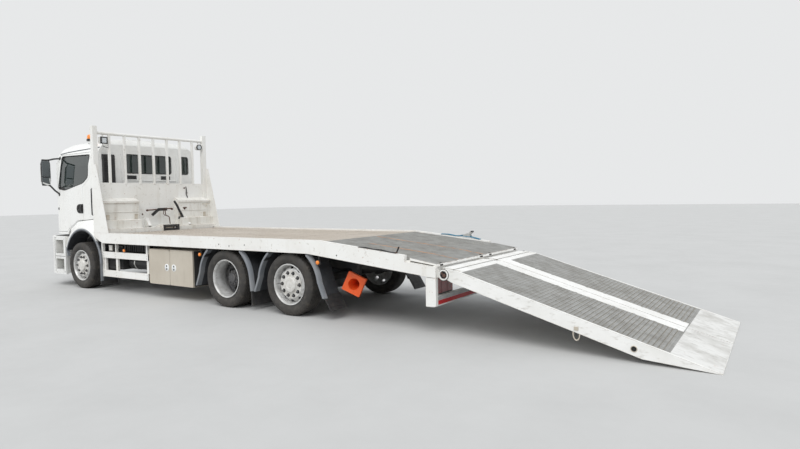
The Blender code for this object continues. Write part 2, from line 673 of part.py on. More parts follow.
def headboard():
    """Posts, top tube, bars, panel and the two slanting gussets."""
    base = SIDE_TOP + SEAT
    limits = (HEAD_X - HEAD_POST / 2, HEAD_X + HEAD_POST / 2)
    shapes = []
    for side in (1, -1):
        outer = side * (BED_HALF - 0.001)
        shapes.append(box(limits, (outer, outer - side * HEAD_POST), (base, HEAD_TOP)))
        plate = [(HEAD_X, base), (HEAD_X, GUSSET[0][1]), GUSSET[0], (GUSSET[1][0], base)]
        shapes.append(prism(plate, (outer, outer - side * 0.012)))
    inner = BED_HALF - HEAD_POST / 2
    shapes.append(rod((HEAD_X, -inner, HEAD_TUBE_Z), (HEAD_X, inner, HEAD_TUBE_Z), 0.030, 12))
    shapes.append(box((HEAD_X - 0.012, HEAD_X + 0.012), (-inner, inner), (base, HEAD_PANEL_TOP)))
    pitch = 2 * (inner + 0.02) / (BARS + 1)
    for index in range(BARS):
        y = pitch * (index - (BARS - 1) / 2)
        shapes.append(box((HEAD_X - 0.020, HEAD_X + 0.020), (y - 0.022, y + 0.022),
                          (HEAD_PANEL_TOP - 0.02, HEAD_TUBE_Z)))
    piece("headboard", fused(shapes + work_lamps()), "bed_paint")


FAIRLEAD_Y = (-0.290, 0.040) # cheeks of the winch's fairlead


def lockers():
    """The two lockers with overhanging lips at the headboard's foot, and the winch's fairlead between."""
    back, foot = HEAD_X - 0.012 - SEAT, DECK_UNDER
    step, front = 4.700, LOCKER_FRONT
    side = [(back, foot), (back, 1.750), (4.770, 1.690), (4.770, 1.655), (4.790, 1.650), (4.790, 1.335),
            (step, 1.320), (step, 1.165), (front, 1.160), (front, foot)]
    outer = BED_HALF - 0.001 - HEAD_POST - SEAT
    shapes = [prism(side, (sign * outer, sign * LOCKER_HALF)) for sign in (1, -1)]
    rear, wing = HEAD_X - HEAD_POST / 2 - SEAT, BED_HALF - 0.013 - SEAT
    beside = [(rear, SIDE_TOP + SEAT), (rear, 1.715), (4.771, 1.689), (4.771, 1.656), (4.791, 1.651),
              (4.791, 1.336), (4.701, 1.321), (4.701, 1.166), (4.621, 1.161), (4.621, SIDE_TOP + SEAT)]
    shapes += [prism(beside, (sign * (outer - 0.02), sign * wing)) for sign in (1, -1)]
    base = [(back, foot), (back, 1.158), (front + 0.002, 1.158), (front + 0.002, foot)]
    well = (FAIRLEAD_Y[0] - 0.020, FAIRLEAD_Y[1] + 0.020)
    shapes += [prism(base, (-LOCKER_HALF - 0.01, well[0])), prism(base, (LOCKER_HALF + 0.01, well[1])),
               box((4.760, back - 0.001), (well[0] - 0.01, well[1] + 0.01), (foot + 0.001, 1.155))]
    for y in FAIRLEAD_Y:
        shapes.append(box((4.585, 4.780), (y - 0.022, y + 0.022), (foot + 0.002, 1.200)))
    for z in (1.105, 1.180):
        shapes.append(rod((4.610, FAIRLEAD_Y[0], z), (4.610, FAIRLEAD_Y[1], z), 0.014, 8))
    piece("lockers_and_fairlead", fused(shapes), "bed_paint")


def work_lamps():
    """A square and a round lamp hung under the top tube."""
    top = HEAD_TUBE_Z - 0.015
    high, low = HEAD_TUBE_Z - 0.075, HEAD_TUBE_Z - 0.195
    x = (HEAD_X - 0.045, HEAD_X + 0.045)
    stem = (HEAD_X - 0.012, HEAD_X + 0.012)
    middle = (high + low) / 2
    return [box(x, (1.00, 1.12), (low, high)), box(stem, (1.05, 1.07), (high - 0.01, top)),
            rod((x[0], -1.095, middle), (x[1], -1.095, middle), 0.060, 12),
            box(stem, (-1.105, -1.085), (high - 0.02, top))]


RAMP_FALL = RAMP_BEND[1] / (RAMP_BEND[0] - TOE_X)
RAMP_ANGLE = atan(RAMP_FALL)
RAMP_CREST = HINGE_Z + HINGE_RADIUS
RAMP_SIDE = EAR_OUT + 0.006  # inner face of a ramp's side plate
RING_RADIUS = 0.052          # end of the side plate round its pin
TOE_THICK = 0.008
KINK = (-4.758, 0.050)       # where the ramp's underside turns level at the toe
BEAM = 0.020                 # thickness of the beams under a ramp


def ramp_point(x, depth=0.0):
    """A point so far under the top of a lowered ramp, behind its bend."""
    return x, RAMP_BEND[1] - RAMP_FALL * (RAMP_BEND[0] - x) - depth


def ramp_strip(front, rear, high, low):
    """Outline of a strip along a ramp, from one depth under its top to another."""
    return [ramp_point(front, high), ramp_point(rear, high), ramp_point(rear, low), ramp_point(front, low)]


def ramp(pivots):
    """A ramp: hinge tube, side plates, cross plates and toe, with the grating as its own piece."""
    bend, deep = RAMP_BEND[0], RAMP_DEPTH / cos(RAMP_ANGLE)
    heel = HINGE_X - 0.10
    inner, outer = RAMP_GAP, BED_HALF
    tube = (RAMP_GAP + 0.006 + HINGE_EAR + 0.006, EAR_OUT - HINGE_EAR - 0.006)
    side_plate = [(HINGE_X - 0.02, RAMP_CREST + 0.002), RAMP_BEND, (TOE_X, TOE_THICK), (TOE_X, 0.0), KINK,
                  ramp_point(heel, deep)] + arc((HINGE_X, HINGE_Z), RING_RADIUS, 240, 420, 8)
    crest = [(HINGE_X, RAMP_CREST), (bend, RAMP_BEND[1] - 0.001), ramp_point(bend - 0.010, 0.001),
             (bend - 0.010, RAMP_BEND[1] - 0.06), (HINGE_X, HINGE_Z - 0.02)]
    cross = [ramp_point(heel, 0.05), ramp_point(bend - 0.005, 0.001), ramp_point(bend - 0.030, 0.001),
             (bend - 0.030, RAMP_BEND[1] - 0.09), ramp_point(heel, 0.11)]
    toe = [ramp_point(TOE_PLATE_X), (TOE_X, TOE_THICK), (TOE_X, 0.0), (KINK[0] - 0.03, KINK[1] - 0.002),
           ramp_point(TOE_PLATE_X, RAMP_PLATE + 0.01)]
    start, end = bend - 0.020, TOE_PLATE_X - 0.020
    shapes = [prism(side_plate, (outer, RAMP_SIDE)),
              rod((HINGE_X, tube[0], HINGE_Z), (HINGE_X, tube[1], HINGE_Z), HINGE_RADIUS, 20),
              prism(crest, tube), prism(cross, (inner, outer - 0.010)),
              prism(ramp_strip(start, end, RAMP_PLATE, RAMP_PLATE + BEAM), (inner + 0.001, outer - 0.009)),
              prism(ramp_strip(start, end, 0.0, 0.04), (inner, RAMP_STRIP)),
              prism(toe, (inner, outer - 0.008))]
    middle = (RAMP_STRIP + outer) / 2
    for y, depth in ((inner + 0.001, 0.020), (RAMP_STRIP - BEAM - 0.001, 0.020),
                     (middle, RAMP_PLATE + 0.002)):
        beam = [ramp_point(start, depth), ramp_point(KINK[0], depth), (KINK[0], KINK[1] + 0.001),
                ramp_point(start, deep - 0.001)]
        shapes.append(prism(beam, (y, y + BEAM)))
    pins = [rod((HINGE_X, tube[1] - 0.05, HINGE_Z), (HINGE_X, tube[1] + 0.01, HINGE_Z), PIN + RUN, 12),
            rod((HINGE_X, EAR_OUT, HINGE_Z), (HINGE_X, outer + 0.01, HINGE_Z), PIN + RUN, 12)]
    both("ramp", cut(fused(shapes), *pins), "bed_paint", pivots, 30)
    ribs = comb(bend - 0.031, TOE_PLATE_X + 0.001, lambda x: ramp_point(x, RAMP_PLATE - SEAT)[1],
                lambda x: ramp_point(x, -0.001)[1], RIB_PITCH, RIB_WIDTH, RIB_DEPTH)
    both("ramp_grating", prism(ribs, (RAMP_STRIP + SEAT, RAMP_SIDE - SEAT)), "galvanised", pivots)


def bed():
    bed_frame()
    rear_posts()
    decks()
    headboard()
    lockers()
    ramp([pivot(f"ramp_hinge_{word}", (HINGE_X, side * 0.64, HINGE_Z), TRUCK)
          for side, word in ((1, "left"), (-1, "right"))])


bed()


def inset(points, distance):
    """An outline moved inward by a distance; points run either way round."""
    turn = sum(a[0] * b[1] - b[0] * a[1] for a, b in zip(points, points[1:] + points[:1]))
    sign = 1 if turn > 0 else -1
    result = []
    for before, here, after in zip(points[-1:] + points[:-1], points, points[1:] + points[:1]):
        normals = []
        for start, end in ((before, here), (here, after)):
            length = hypot(end[0] - start[0], end[1] - start[1])
            normals.append((-sign * (end[1] - start[1]) / length, sign * (end[0] - start[0]) / length))
        (ax, ay), (bx, by) = normals
        scale = distance / (1 + ax * bx + ay * by)
        result.append((here[0] + (ax + bx) * scale, here[1] + (ay + by) * scale))
    return result


def whole(half):
    """Both halves of an outline given on one side of the middle plane, second value across."""
    return list(half) + [(u, -v) for u, v in reversed(half)]


def cab_solid(depth):
    """The space inside the cab's skin, so many metres below it."""
    plan = prism(inset(whole(CAB_PLAN), depth), (1.0, 3.0), "XY")
    face = inset([(y, z) for y, z in CAB_FACE] + [(-y, z) for y, z in reversed(CAB_FACE)], depth)
    side = prism(inset(list(CAB_SIDE), depth), (-1.3, 1.3))
    return common(common(side, plan), prism(face, (4.9, 7.1), "YZ"))


def door_space(gap):
    """Prisms through the side walls in the doors' outline, so much smaller, that leave the floor whole."""
    shapes = []
    for side in (1, -1):
        sill = box((CAB_REAR - 0.1, CAB_FRONT + 0.1), (side * (DOOR_DEPTH - 0.1), side * (SILL_Y + gap)),
                   (1.0, SILL_TOP))
        shapes.append(cut(prism(inset(list(DOOR), gap), (side * DOOR_DEPTH, side * 1.3)), sill))
    return shapes


def cab_cutters():
    """What is cut out of the cab's walls besides the doors."""
    low, high = WINDSCREEN
    shapes = [box((6.40, 7.10), (-SCREEN_HALF, SCREEN_HALF), (low, high))]
    for y0, y1, z0, z1 in (REAR_WINDOW, QUARTER_WINDOW):
        shapes.append(box((CAB_REAR - 0.1, CAB_REAR + 0.1), (y0, y1), (z0, z1)))
    return shapes


def cab_shell(pivots):
    """Walls and floor, roof and front panel; the doors; panes in the openings."""
    tilt, doors = pivots
    walls = cut(cab_solid(0.0), cab_solid(CAB_WALL))
    panel = [(6.700, 1.925), (6.700, 1.055), (7.10, 1.055), (7.10, 1.925)]
    source = walls.data.copy()
    front, half, top = TUNNEL
    skin = TUNNEL_SKIN
    body = common(walls, box((5.0, 7.1), (-1.3, 1.3), (0.9, GUTTER)))
    hump = box((CAB_REAR + 0.001, front + skin), (-half - skin, half + skin), (1.047, top + skin))
    floor = CAB_SIDE[-5][1] - SEAT
    arm = [(TILT_X + 0.025, TILT_Z - 0.030), (TILT_X + 0.020, TILT_Z + 0.035), (6.410, floor), (6.280, floor),
           (TILT_X - 0.040, TILT_Z - 0.035)]
    arms = [box((6.362, 6.405), (-RAIL_Y - 0.020, RAIL_Y + 0.020), (floor - 0.060, floor - 0.0001))]
    arms += [prism(arm, (side * (RAIL_Y + 0.012), side * (RAIL_Y + 0.062))) for side in (1, -1)]
    space = box((4.9, front), (-half, half), (1.0, top))
    pins = rod((TILT_X, -0.6, TILT_Z), (TILT_X, 0.6, TILT_Z), TILT_PIN + RUN, 12)
    piece("cab_tilt_frame", cut(fused(arms), pins), "chassis_paint", tilt)
    body = cut(cut(fused([body, hump]), space), *door_space(0.0))
    body = cut(cut(body, prism(panel, (-1.3, 1.3))), *cab_cutters())
    piece("cab_body", body, "white_paint", tilt, 30)

    roof = common(guide("roof", source.copy()), box((5.0, 7.1), (-1.3, 1.3), (GUTTER + SEAT, 3.1)))
    roof = fused([roof, rod((*BEACON, 2.87), (*BEACON, 3.035), 0.062, 12)])
    piece("cab_roof", roof, "white_paint", tilt, 30)

    face = common(guide("front", source.copy()), prism(inset(panel, 0.004), (-1.3, 1.3)))
    slots = [box((6.75, 7.1), (-0.62, 0.62), (z, z + 0.055)) for z in (1.12, 1.22, 1.32, 1.42, 1.52)]
    piece("front_panel", cut(face, *slots), "white_paint", tilt, 30)

    glass = cut(cab_solid(PANE[0]), cab_solid(PANE[1]))
    panes = glass.data.copy()
    low, high = WINDSCREEN
    half = SCREEN_HALF - SEAT
    screen = common(glass, box((6.40, 7.10), (-half, half), (low + SEAT, high - SEAT)))
    piece("windscreen", screen, "glass", tilt)
    y0, y1, z0, z1 = REAR_WINDOW
    limits = box((CAB_REAR - 0.1, CAB_REAR + 0.1), (y0 + SEAT, y1 - SEAT), (z0 + SEAT, z1 - SEAT))
    piece("rear_window", common(guide("pane", panes.copy()), limits), "glass", tilt)

    space, other = door_space(DOOR_GAP)
    bpy.data.objects.remove(other, do_unlink=True)
    shell = common(guide("doors", source.copy()), space)
    door = cut(shell, prism(list(DOOR_WINDOW), (0.9, 1.3)))
    both("door", door, "white_paint", doors, 30)
    pane = common(guide("pane", panes.copy()), prism(inset(list(DOOR_WINDOW), SEAT), (0.9, 1.3)))
    both("door_window", pane, "glass", doors)


def seated(shape, gap=SEAT):
    """A fitting trimmed to rest on the outside of the cab's skin."""
    return cut(shape, cab_solid(-gap))


def cab_fittings(tilt, doors):
    """Mirrors, door handles, beacon, intake, seats, dashboard and steering wheel."""
    mirror = [box((6.575, 6.665), (CAB_HALF + 0.110, CAB_HALF + 0.295), (2.030, 2.560)),
              rod((6.600, CAB_HALF + 0.180, 2.540), (6.480, CAB_HALF - 0.060, 2.585), 0.016, 8),
              rod((6.600, CAB_HALF + 0.180, 2.060), (6.470, CAB_HALF - 0.020, 1.850), 0.016, 8)]
    both("mirror", seated(fused(mirror)), "black_plastic", doors)
    intake = box((5.012, CAB_REAR - SEAT), (CAB_HALF - 0.340, CAB_HALF - 0.110), (1.700, 2.580))
    piece("air_intake", intake, "black_plastic", tilt)
    shapes = [box((5.45, 5.80), (-0.70, 0.70), (1.25, 1.58))]
    for y, half in ((0.62, 0.25), (-0.55, 0.42)):
        shapes += [box((5.36, 5.90), (y - half, y + half), (1.55, 1.72)),
                   prism([(5.365, 1.60), (5.50, 1.60), (5.40, 2.28), (5.29, 2.28)],
                         (y - half + 0.01, y + half - 0.01))]
        for place in ((y,) if half < 0.3 else (y - 0.21, y + 0.21)):
            shapes.append(prism([(5.38, 2.22), (5.28, 2.22), (5.25, 2.46), (5.33, 2.46)],
                                (place - 0.13, place + 0.13)))
    front, half, top = TUNNEL
    over = TUNNEL_SKIN + SEAT
    hump = box((4.9, front + over), (-half - over, half + over), (1.0, top + over))
    piece("seats", cut(common(fused(shapes), cab_solid(CAB_WALL + SEAT)), hump), "seat_cloth", tilt)
    dash = prism([(6.40, 1.93), (6.36, 1.60), (6.60, 1.42), (6.95, 1.42), (6.95, 1.90)],
                 (-DASH_HALF, DASH_HALF))
    dash = common(dash, cab_solid(CAB_WALL + SEAT))
    wheel_form = bmesh.new()
    rings, sides, radius, grip = 16, 5, 0.215, 0.018
    rows = []
    for turn in [2 * pi * i / rings for i in range(rings)]:
        round_grip = [(radius + grip * cos(b), grip * sin(b))
                      for b in [2 * pi * j / sides for j in range(sides)]]
        rows.append([wheel_form.verts.new((out * cos(turn), out * sin(turn), up))
                     for out, up in round_grip])
    for row, after in zip(rows, rows[1:] + rows[:1]):
        for j in range(sides):
            k = (j + 1) % sides
            wheel_form.faces.new((row[j], after[j], after[k], row[k]))
    ring = from_bmesh("ring", wheel_form)
    spokes = [ring, box((-radius, radius), (-0.020, 0.020), (-0.010, 0.010)),
              rod((0, 0, -0.05), (0, 0, 0.02), 0.05, 12)]
    wheel = fused(spokes)
    wheel.data.transform(Matrix.Translation((6.14, 0.62, 1.92)) @ Matrix.Rotation(radians(-38), 4, "Y"))
    column = rod((6.16, 0.62, 1.89), (6.50, 0.62, 1.63), 0.035, 8)
    piece("dashboard_and_wheel", fused([dash, wheel, column]), "black_plastic", tilt)


BUMPER_PLAN = ((6.110, BUMPER_HALF), (6.500, BUMPER_HALF), (6.640, 1.215), (6.780, 1.120), (6.880, 0.950),
               (6.940, 0.700), (BUMPER_FRONT, 0.300))
BUMPER_Z = (0.240, 1.007)
BUMPER_WALL = 0.045
LAMP_REGION = ((6.70, 7.10), (0.66, 1.19), (0.60, 0.80))


def bumper_ring(depth, open_rear):
    rows = [(x - (0.3 if open_rear and index == 0 else 0), y) for index, (x, y) in enumerate(BUMPER_PLAN)]
    return prism(inset(whole(rows), depth), BUMPER_Z if not open_rear else (0.0, 1.2), "XY")


def front_end():
    """Bumper with its steps, headlamps, and the arches over the front wheels."""
    ring = cut(bumper_ring(0.0, False), bumper_ring(BUMPER_WALL, True))
    wells = []
    shapes = [ring]
    for side in (1, -1):
        shapes.append(box((6.112, 6.52), (side * 1.02, side * (BUMPER_HALF - 0.01)), (0.26, 0.99)))
        shapes.append(box((FRAME_FRONT + SEAT, BUMPER_FRONT - 0.03), (side * 0.36, side * 0.42),
                          (0.66, 0.86)))
        for z0, z1 in ((0.34, 0.55), (0.66, 0.93)):
            wells.append(box((6.18, 6.48), (side * 1.07, side * 1.3), (z0, z1)))
    x, y, z = LAMP_REGION
    intake = [box((6.8, 7.1), (-0.50, 0.50), (z0, z0 + 0.07)) for z0 in (0.36, 0.48)]
    for side in (1, -1):
        proud = cut(bumper_ring(-0.006, False), bumper_ring(0.02, True))
        shapes.append(common(proud, box(x, (side * y[0], side * y[1]), z)))
    piece("bumper", cut(cut(fused(shapes), *wells), *intake), "white_paint", None, 30)

    centre, inner, skin = ARCH_CENTRE, ARCH_RADIUS, 0.020
    foot = centre[0] - inner
    rows = arc(centre, inner + skin, 20, 182, 12) + [(foot - skin, 0.20), (foot, 0.20)]
    rows += arc(centre, inner, 182, 20, 12)
    bracket = box((foot - 0.005, foot + 0.035), (RAIL_Y + SEAT, 0.93), (0.66, 0.74))
    both("front_fender", fused([prism(rows, (0.90, BUMPER_HALF)), bracket]), "grey_plastic")


GUARD_Y = BED_HALF - 0.075
BOX_X = (3.333, 2.145)
BOX_Z = (0.250, 0.848)
BOX_SPLIT = 2.755
BOX_DEPTH = 0.55


def side_guards():
    """Rails along the open stretch of the frame, on both sides."""
    shapes = [box((3.40, 4.825), (GUARD_Y - 0.025, GUARD_Y), limits)
              for limits in ((0.631, 0.749), (0.280, 0.404))]
    for x in (4.79, 4.40, 3.44):
        shapes.append(box((x - 0.03, x + 0.03), (GUARD_Y - 0.060, GUARD_Y - 0.020), (0.285, 0.74)))
    for x in (4.79, 3.44):
        shapes.append(box((x - 0.025, x + 0.025), (RAIL_Y + SEAT, GUARD_Y - 0.03), (0.70, 0.738)))
    both("side_guard", fused(shapes), "bed_paint")


def tool_box(doors):
    """The aluminium box on the left with its two doors."""
    outer = GUARD_Y + 0.02
    skin = 0.012
    y = (outer - BOX_DEPTH, outer - 0.016)
    body = cut(box(BOX_X, y, BOX_Z), box((BOX_X[0] - skin, BOX_X[1] + skin), (y[0] + skin, y[1] + 0.1),
                                         (BOX_Z[0] + skin, BOX_Z[1] - skin)))
    hangers = [box((x - 0.03, x + 0.03), (RAIL_Y + SEAT, y[0] + 0.006), (0.70, 0.80)) for x in (3.05, 2.42)]
    piece("toolbox", fused([body] + hangers), "aluminium")
    gap = 0.003
    lid = ((BOX_X[0], BOX_SPLIT + gap), (BOX_SPLIT - gap, BOX_X[1]))
    for (name, parent), (front, rear) in zip(doors, lid):
        piece(f"toolbox_door_{name}", box((front, rear), (y[1] + SEAT, outer), BOX_Z), "aluminium", parent)


def chassis_boxes():
    """Battery box and air tanks on the left, fuel tank and silencer on the right."""
    battery = [box((4.30, 4.76), (0.62, GUARD_Y - 0.080), (0.42, 0.86)),
               box((4.40, 4.66), (RAIL_Y + SEAT, 0.63), (0.66, 0.80))]
    tanks = [rod((3.42, y, 0.55), (4.22, y, 0.55), 0.13, 14) for y in (0.64, 0.92)]
    tanks += [box((x - 0.03, x + 0.03), (RAIL_Y + SEAT, 1.00), (0.64, 0.70)) for x in (3.62, 4.02)]
    tanks.append(box((3.60, 4.04), (0.72, 0.84), (0.50, 0.60)))
    tanks.append(box((4.19, 4.32), (0.66, 0.72), (0.50, 0.60)))
    piece("battery_box_and_air_tanks", fused(battery + tanks), "black_plastic")
    fuel = [box((2.20, 3.35), (-0.60, 0.050 - GUARD_Y), (0.26, 0.84))]
    fuel += [box((x - 0.03, x + 0.03), (-RAIL_Y - SEAT, -0.61), (0.30, 0.80)) for x in (2.45, 3.10)]
    silencer = [rod((4.34, -0.80, 0.55), (4.76, -0.80, 0.55), 0.22, 16),
                box((4.50, 4.60), (-RAIL_Y - SEAT, -0.70), (0.66, 0.74))]
    pipe = rod((3.30, -0.80, 0.55), (4.40, -0.80, 0.55), 0.045, 8)
    piece("fuel_tank_and_silencer", fused(fuel + silencer + [pipe]), "aluminium")


FENDER_RADIUS = 0.575
FENDER_SKIN = 0.012
FENDER_Z = 0.440             # height of the arcs' centre
FENDER_FOOT = 0.307
# For each quarter fender: axle station, side of it along the truck, spread of its foot, inner face,
# and its flap's foot as station and height, where it has one
FENDERS = ((BOGIE, 1, 0.085, 0.660, None), (BOGIE, -1, 0.020, 0.660, (0.735, 0.088)),
           (0.0, 1, 0.085, 0.900, None), (0.0, -1, 0.085, 0.900, (-0.800, 0.143)))


def fenders():
    """Quarter fenders before and behind the rear wheels, hung from a strip on the frame, with flaps."""
    top = SIDE_TOP - SIDE_DEPTH - 0.012
    high = degrees_of(atan2(top - FENDER_Z, 0.36))
    shapes = [box((-0.46, BOGIE + 0.46), (RAIL_Y + SEAT, RAIL_Y + 0.030), (0.795, 0.865))]
    outer = FENDER_RADIUS + FENDER_SKIN
    for x, way, spread, inner_y, flap in FENDERS:
        foot = outer + spread
        rows = arc((0, FENDER_Z), outer, high, 8, 5) + [(foot, FENDER_FOOT)]
        rows += [(foot - 0.016, FENDER_FOOT)] + arc((0, FENDER_Z), FENDER_RADIUS, 8, high, 5)
        shapes.append(prism([(x + way * u, v) for u, v in rows], (inner_y, WHEEL_FACE + 0.010)))
        shapes.append(box((x + way * 0.39, x + way * 0.43), (RAIL_Y + 0.010, inner_y + 0.10), (0.800, 0.860)))
        if flap:
            start = x + way * (foot - 0.002)
            rows = [(start, FENDER_FOOT + 0.03), (start - way * 0.012, FENDER_FOOT + 0.03),
                    (flap[0] - way * 0.012, flap[1]), flap]
            shapes.append(prism(rows, (inner_y + 0.005, WHEEL_FACE + 0.005)))
    both("fenders", fused(shapes), "grey_plastic")


CONES = (-0.985, 0.980, 0.490)   # middle of the stack's foot
CONE_LEAN = radians(20)          # turn of the stack's axis from the truck's width
CONE_ROLL = radians(25)
CONE_PLATE = (0.135, 0.022)      # half width and thickness of a cone's square foot
CONE_STEP = 0.040                # from one cone's foot to the next
CONE_OUTSIDE = (0.098, 0.026)    # radius at the foot and at the tip
CONE_INSIDE = (0.084, 0.022)
CONE_LENGTH = (0.400, 0.300)     # outside, and how deep the hollow is
HOOK_Y = 0.715                   # where the hook meets the stack


def cones():
    """A stack of traffic cones stowed on a hook under the tail, its hollow foot facing outward."""
    half, thick = CONE_PLATE
    stack = [box((-half, half), (-half, half), (z, z + thick)) for z in (0.0, CONE_STEP)]
    stack.append(rod((0, 0, 0.001), (0, 0, CONE_LENGTH[0]), CONE_OUTSIDE[0], 14, CONE_OUTSIDE[1]))
    hollow = rod((0, 0, -0.01), (0, 0, CONE_LENGTH[1]), CONE_INSIDE[0], 14, CONE_INSIDE[1])
    stack = cut(fused(stack), hollow)
    aim = Vector((sin(CONE_LEAN), -cos(CONE_LEAN), 0.0))
    turn = aim.to_track_quat("Z", "Y").to_matrix().to_4x4()
    stack.data.transform(Matrix.Translation(Vector(CONES)) @ turn @ Matrix.Rotation(CONE_ROLL, 4, "Z"))
    x = CONES[0] + (CONES[1] - HOOK_Y) * tan(CONE_LEAN)
    hanger = [box((x - 0.02, x + 0.02), (RAIL_Y + SEAT, HOOK_Y + 0.02), (0.70, 0.74)),
              box((x - 0.02, x + 0.02), (HOOK_Y - 0.015, HOOK_Y + 0.015), (CONES[2], 0.73))]
    piece("traffic_cones", fused([stack] + hanger), "orange_plastic", None, 30)


def doors_and_lids():
    """Pivots of the tilting cab, its doors and the toolbox doors; then what hangs on them."""
    tilt = pivot("cab_tilt", (TILT_X, 0, TILT_Z), TRUCK)
    doors = [pivot(f"door_hinge_{word}", (6.640, side * (CAB_HALF - 0.008), 1.8), tilt)
             for side, word in ((1, "left"), (-1, "right"))]
    cab_shell((tilt, doors))
    cab_fittings(tilt, doors)
    y = GUARD_Y + 0.022
    lids = [(name, pivot(f"toolbox_hinge_{name}", (x, y, 0.55), TRUCK))
            for name, x in (("front", BOX_X[0] + 0.004), ("rear", BOX_X[1] - 0.004))]
    tool_box(lids)


doors_and_lids()
front_end()
side_guards()
chassis_boxes()
fenders()
cones()
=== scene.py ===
from collections import namedtuple
from math import atan2, cos, degrees, dist, exp, pi, radians, sin

import bmesh
import bpy
from mathutils import Matrix, Vector


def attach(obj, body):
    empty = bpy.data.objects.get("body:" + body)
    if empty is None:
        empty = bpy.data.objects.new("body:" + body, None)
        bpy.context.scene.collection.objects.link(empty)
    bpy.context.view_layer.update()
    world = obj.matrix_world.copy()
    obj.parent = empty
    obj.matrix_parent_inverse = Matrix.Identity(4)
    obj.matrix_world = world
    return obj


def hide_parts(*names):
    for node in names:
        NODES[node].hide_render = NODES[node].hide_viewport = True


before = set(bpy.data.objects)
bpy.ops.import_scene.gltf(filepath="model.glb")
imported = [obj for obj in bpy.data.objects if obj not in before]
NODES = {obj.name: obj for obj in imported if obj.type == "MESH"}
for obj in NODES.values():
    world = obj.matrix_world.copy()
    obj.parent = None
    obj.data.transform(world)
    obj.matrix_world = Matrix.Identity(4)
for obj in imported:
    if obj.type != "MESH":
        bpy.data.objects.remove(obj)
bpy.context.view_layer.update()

SIDES = (("left", 1), ("right", -1))


# ---- finishes: every material is a small tree of noise layers ----

Mask = namedtuple("Mask", "scale low high amount detail form along stretch z rest",
                  defaults=(0.45, 0.7, 1, 6, "noise", "X", (1, 1, 1), None, 0))


def feed(tree, node, values):
    """Sets a node's inputs; a value that is a socket is linked."""
    for key, value in values.items():
        if isinstance(value, bpy.types.NodeSocket):
            tree.links.new(value, node.inputs[key])
        else:
            node.inputs[key].default_value = value


def add(tree, kind, values, out=0, **props):
    """One output of a new node with its properties and inputs set."""
    made = tree.nodes.new("ShaderNode" + kind)
    for key, value in props.items():
        setattr(made, key, value)
    feed(tree, made, values)
    return made.outputs[out]


def levels(tree, value, low, high, bottom, top):
    return add(tree, "MapRange", {"Value": value, "From Min": low, "From Max": high, "To Min": bottom,
                                  "To Max": top})


def both(tree, a, b, operation="MULTIPLY"):
    return add(tree, "Math", {0: a, 1: b}, operation=operation)


def blend(tree, fac, below, above):
    return add(tree, "Mix", {"Factor": fac, 6: below, 7: above}, 2, data_type="RGBA")


def grey(tree, place, height, mask):
    """A grey mask from noise, cells or bands between two levels, faded between two heights."""
    values = {"Vector": add(tree, "Mapping", {0: place, "Scale": mask.stretch}), "Scale": mask.scale}
    if mask.form == "noise":
        source = add(tree, "TexNoise", {**values, "Detail": mask.detail, "Roughness": 0.6}, "Fac")
    elif mask.form == "cells":
        source = add(tree, "TexVoronoi", values, "Color")
    else:
        source = add(tree, "TexWave", {**values, "Distortion": 0}, "Fac", bands_direction=mask.along)
    out = levels(tree, source, mask.low, mask.high, 0, mask.amount)
    if mask.z:
        out = both(tree, out, levels(tree, height, *mask.z, 1, mask.rest))
    return out


FINE, PEEL = ((Mask(scale, 0.3, 0.7, detail=2), strength, depth)
              for scale, strength, depth in ((240, 0.06, 0.0006), (60, 0.05, 0.0008)))


def finish(name, colour, layers, rough, bumps=(FINE,), rough_scale=6, edge=None, **sockets):
    """A procedural finish. layers are (colour, mask); bumps are (mask, strength, depth)."""
    made = bpy.data.materials.new(name)
    made.use_nodes = True
    tone = made.diffuse_color = (*colour, 1)
    tree = made.node_tree
    shader = tree.nodes["Principled BSDF"]
    place = add(tree, "TexCoord", {}, "Object")
    height = add(tree, "SeparateXYZ", {0: place}, "Z")
    for second, mask in layers:
        tone = blend(tree, grey(tree, place, height, mask), tone, (*second, 1))
    if edge:
        second, width, amount = edge
        bent = add(tree, "Bevel", {"Radius": width}, samples=4)
        flat = add(tree, "NewGeometry", {}, "Normal")
        dot = add(tree, "VectorMath", {0: bent, 1: flat}, "Value", operation="DOT_PRODUCT")
        worn = grey(tree, place, height, Mask(9, 0.42, 0.62))
        tone = blend(tree, both(tree, levels(tree, dot, 0.97, 0.8, 0, amount), worn), tone, (*second, 1))
    grain = add(tree, "TexNoise", {"Vector": place, "Scale": rough_scale, "Detail": 5}, "Fac")
    values = {"Base Color": tone, "Roughness": levels(tree, grain, 0.35, 0.65, *rough)}
    for mask, strength, depth in bumps:
        under = {"Normal": values["Normal"]} if "Normal" in values else {}
        values["Normal"] = add(tree, "Bump", {"Height": grey(tree, place, height, mask), "Strength": strength,
                                              "Distance": depth, **under})
    feed(tree, shader, {**values, **{key.replace("_", " "): value for key, value in sockets.items()}})
    return made


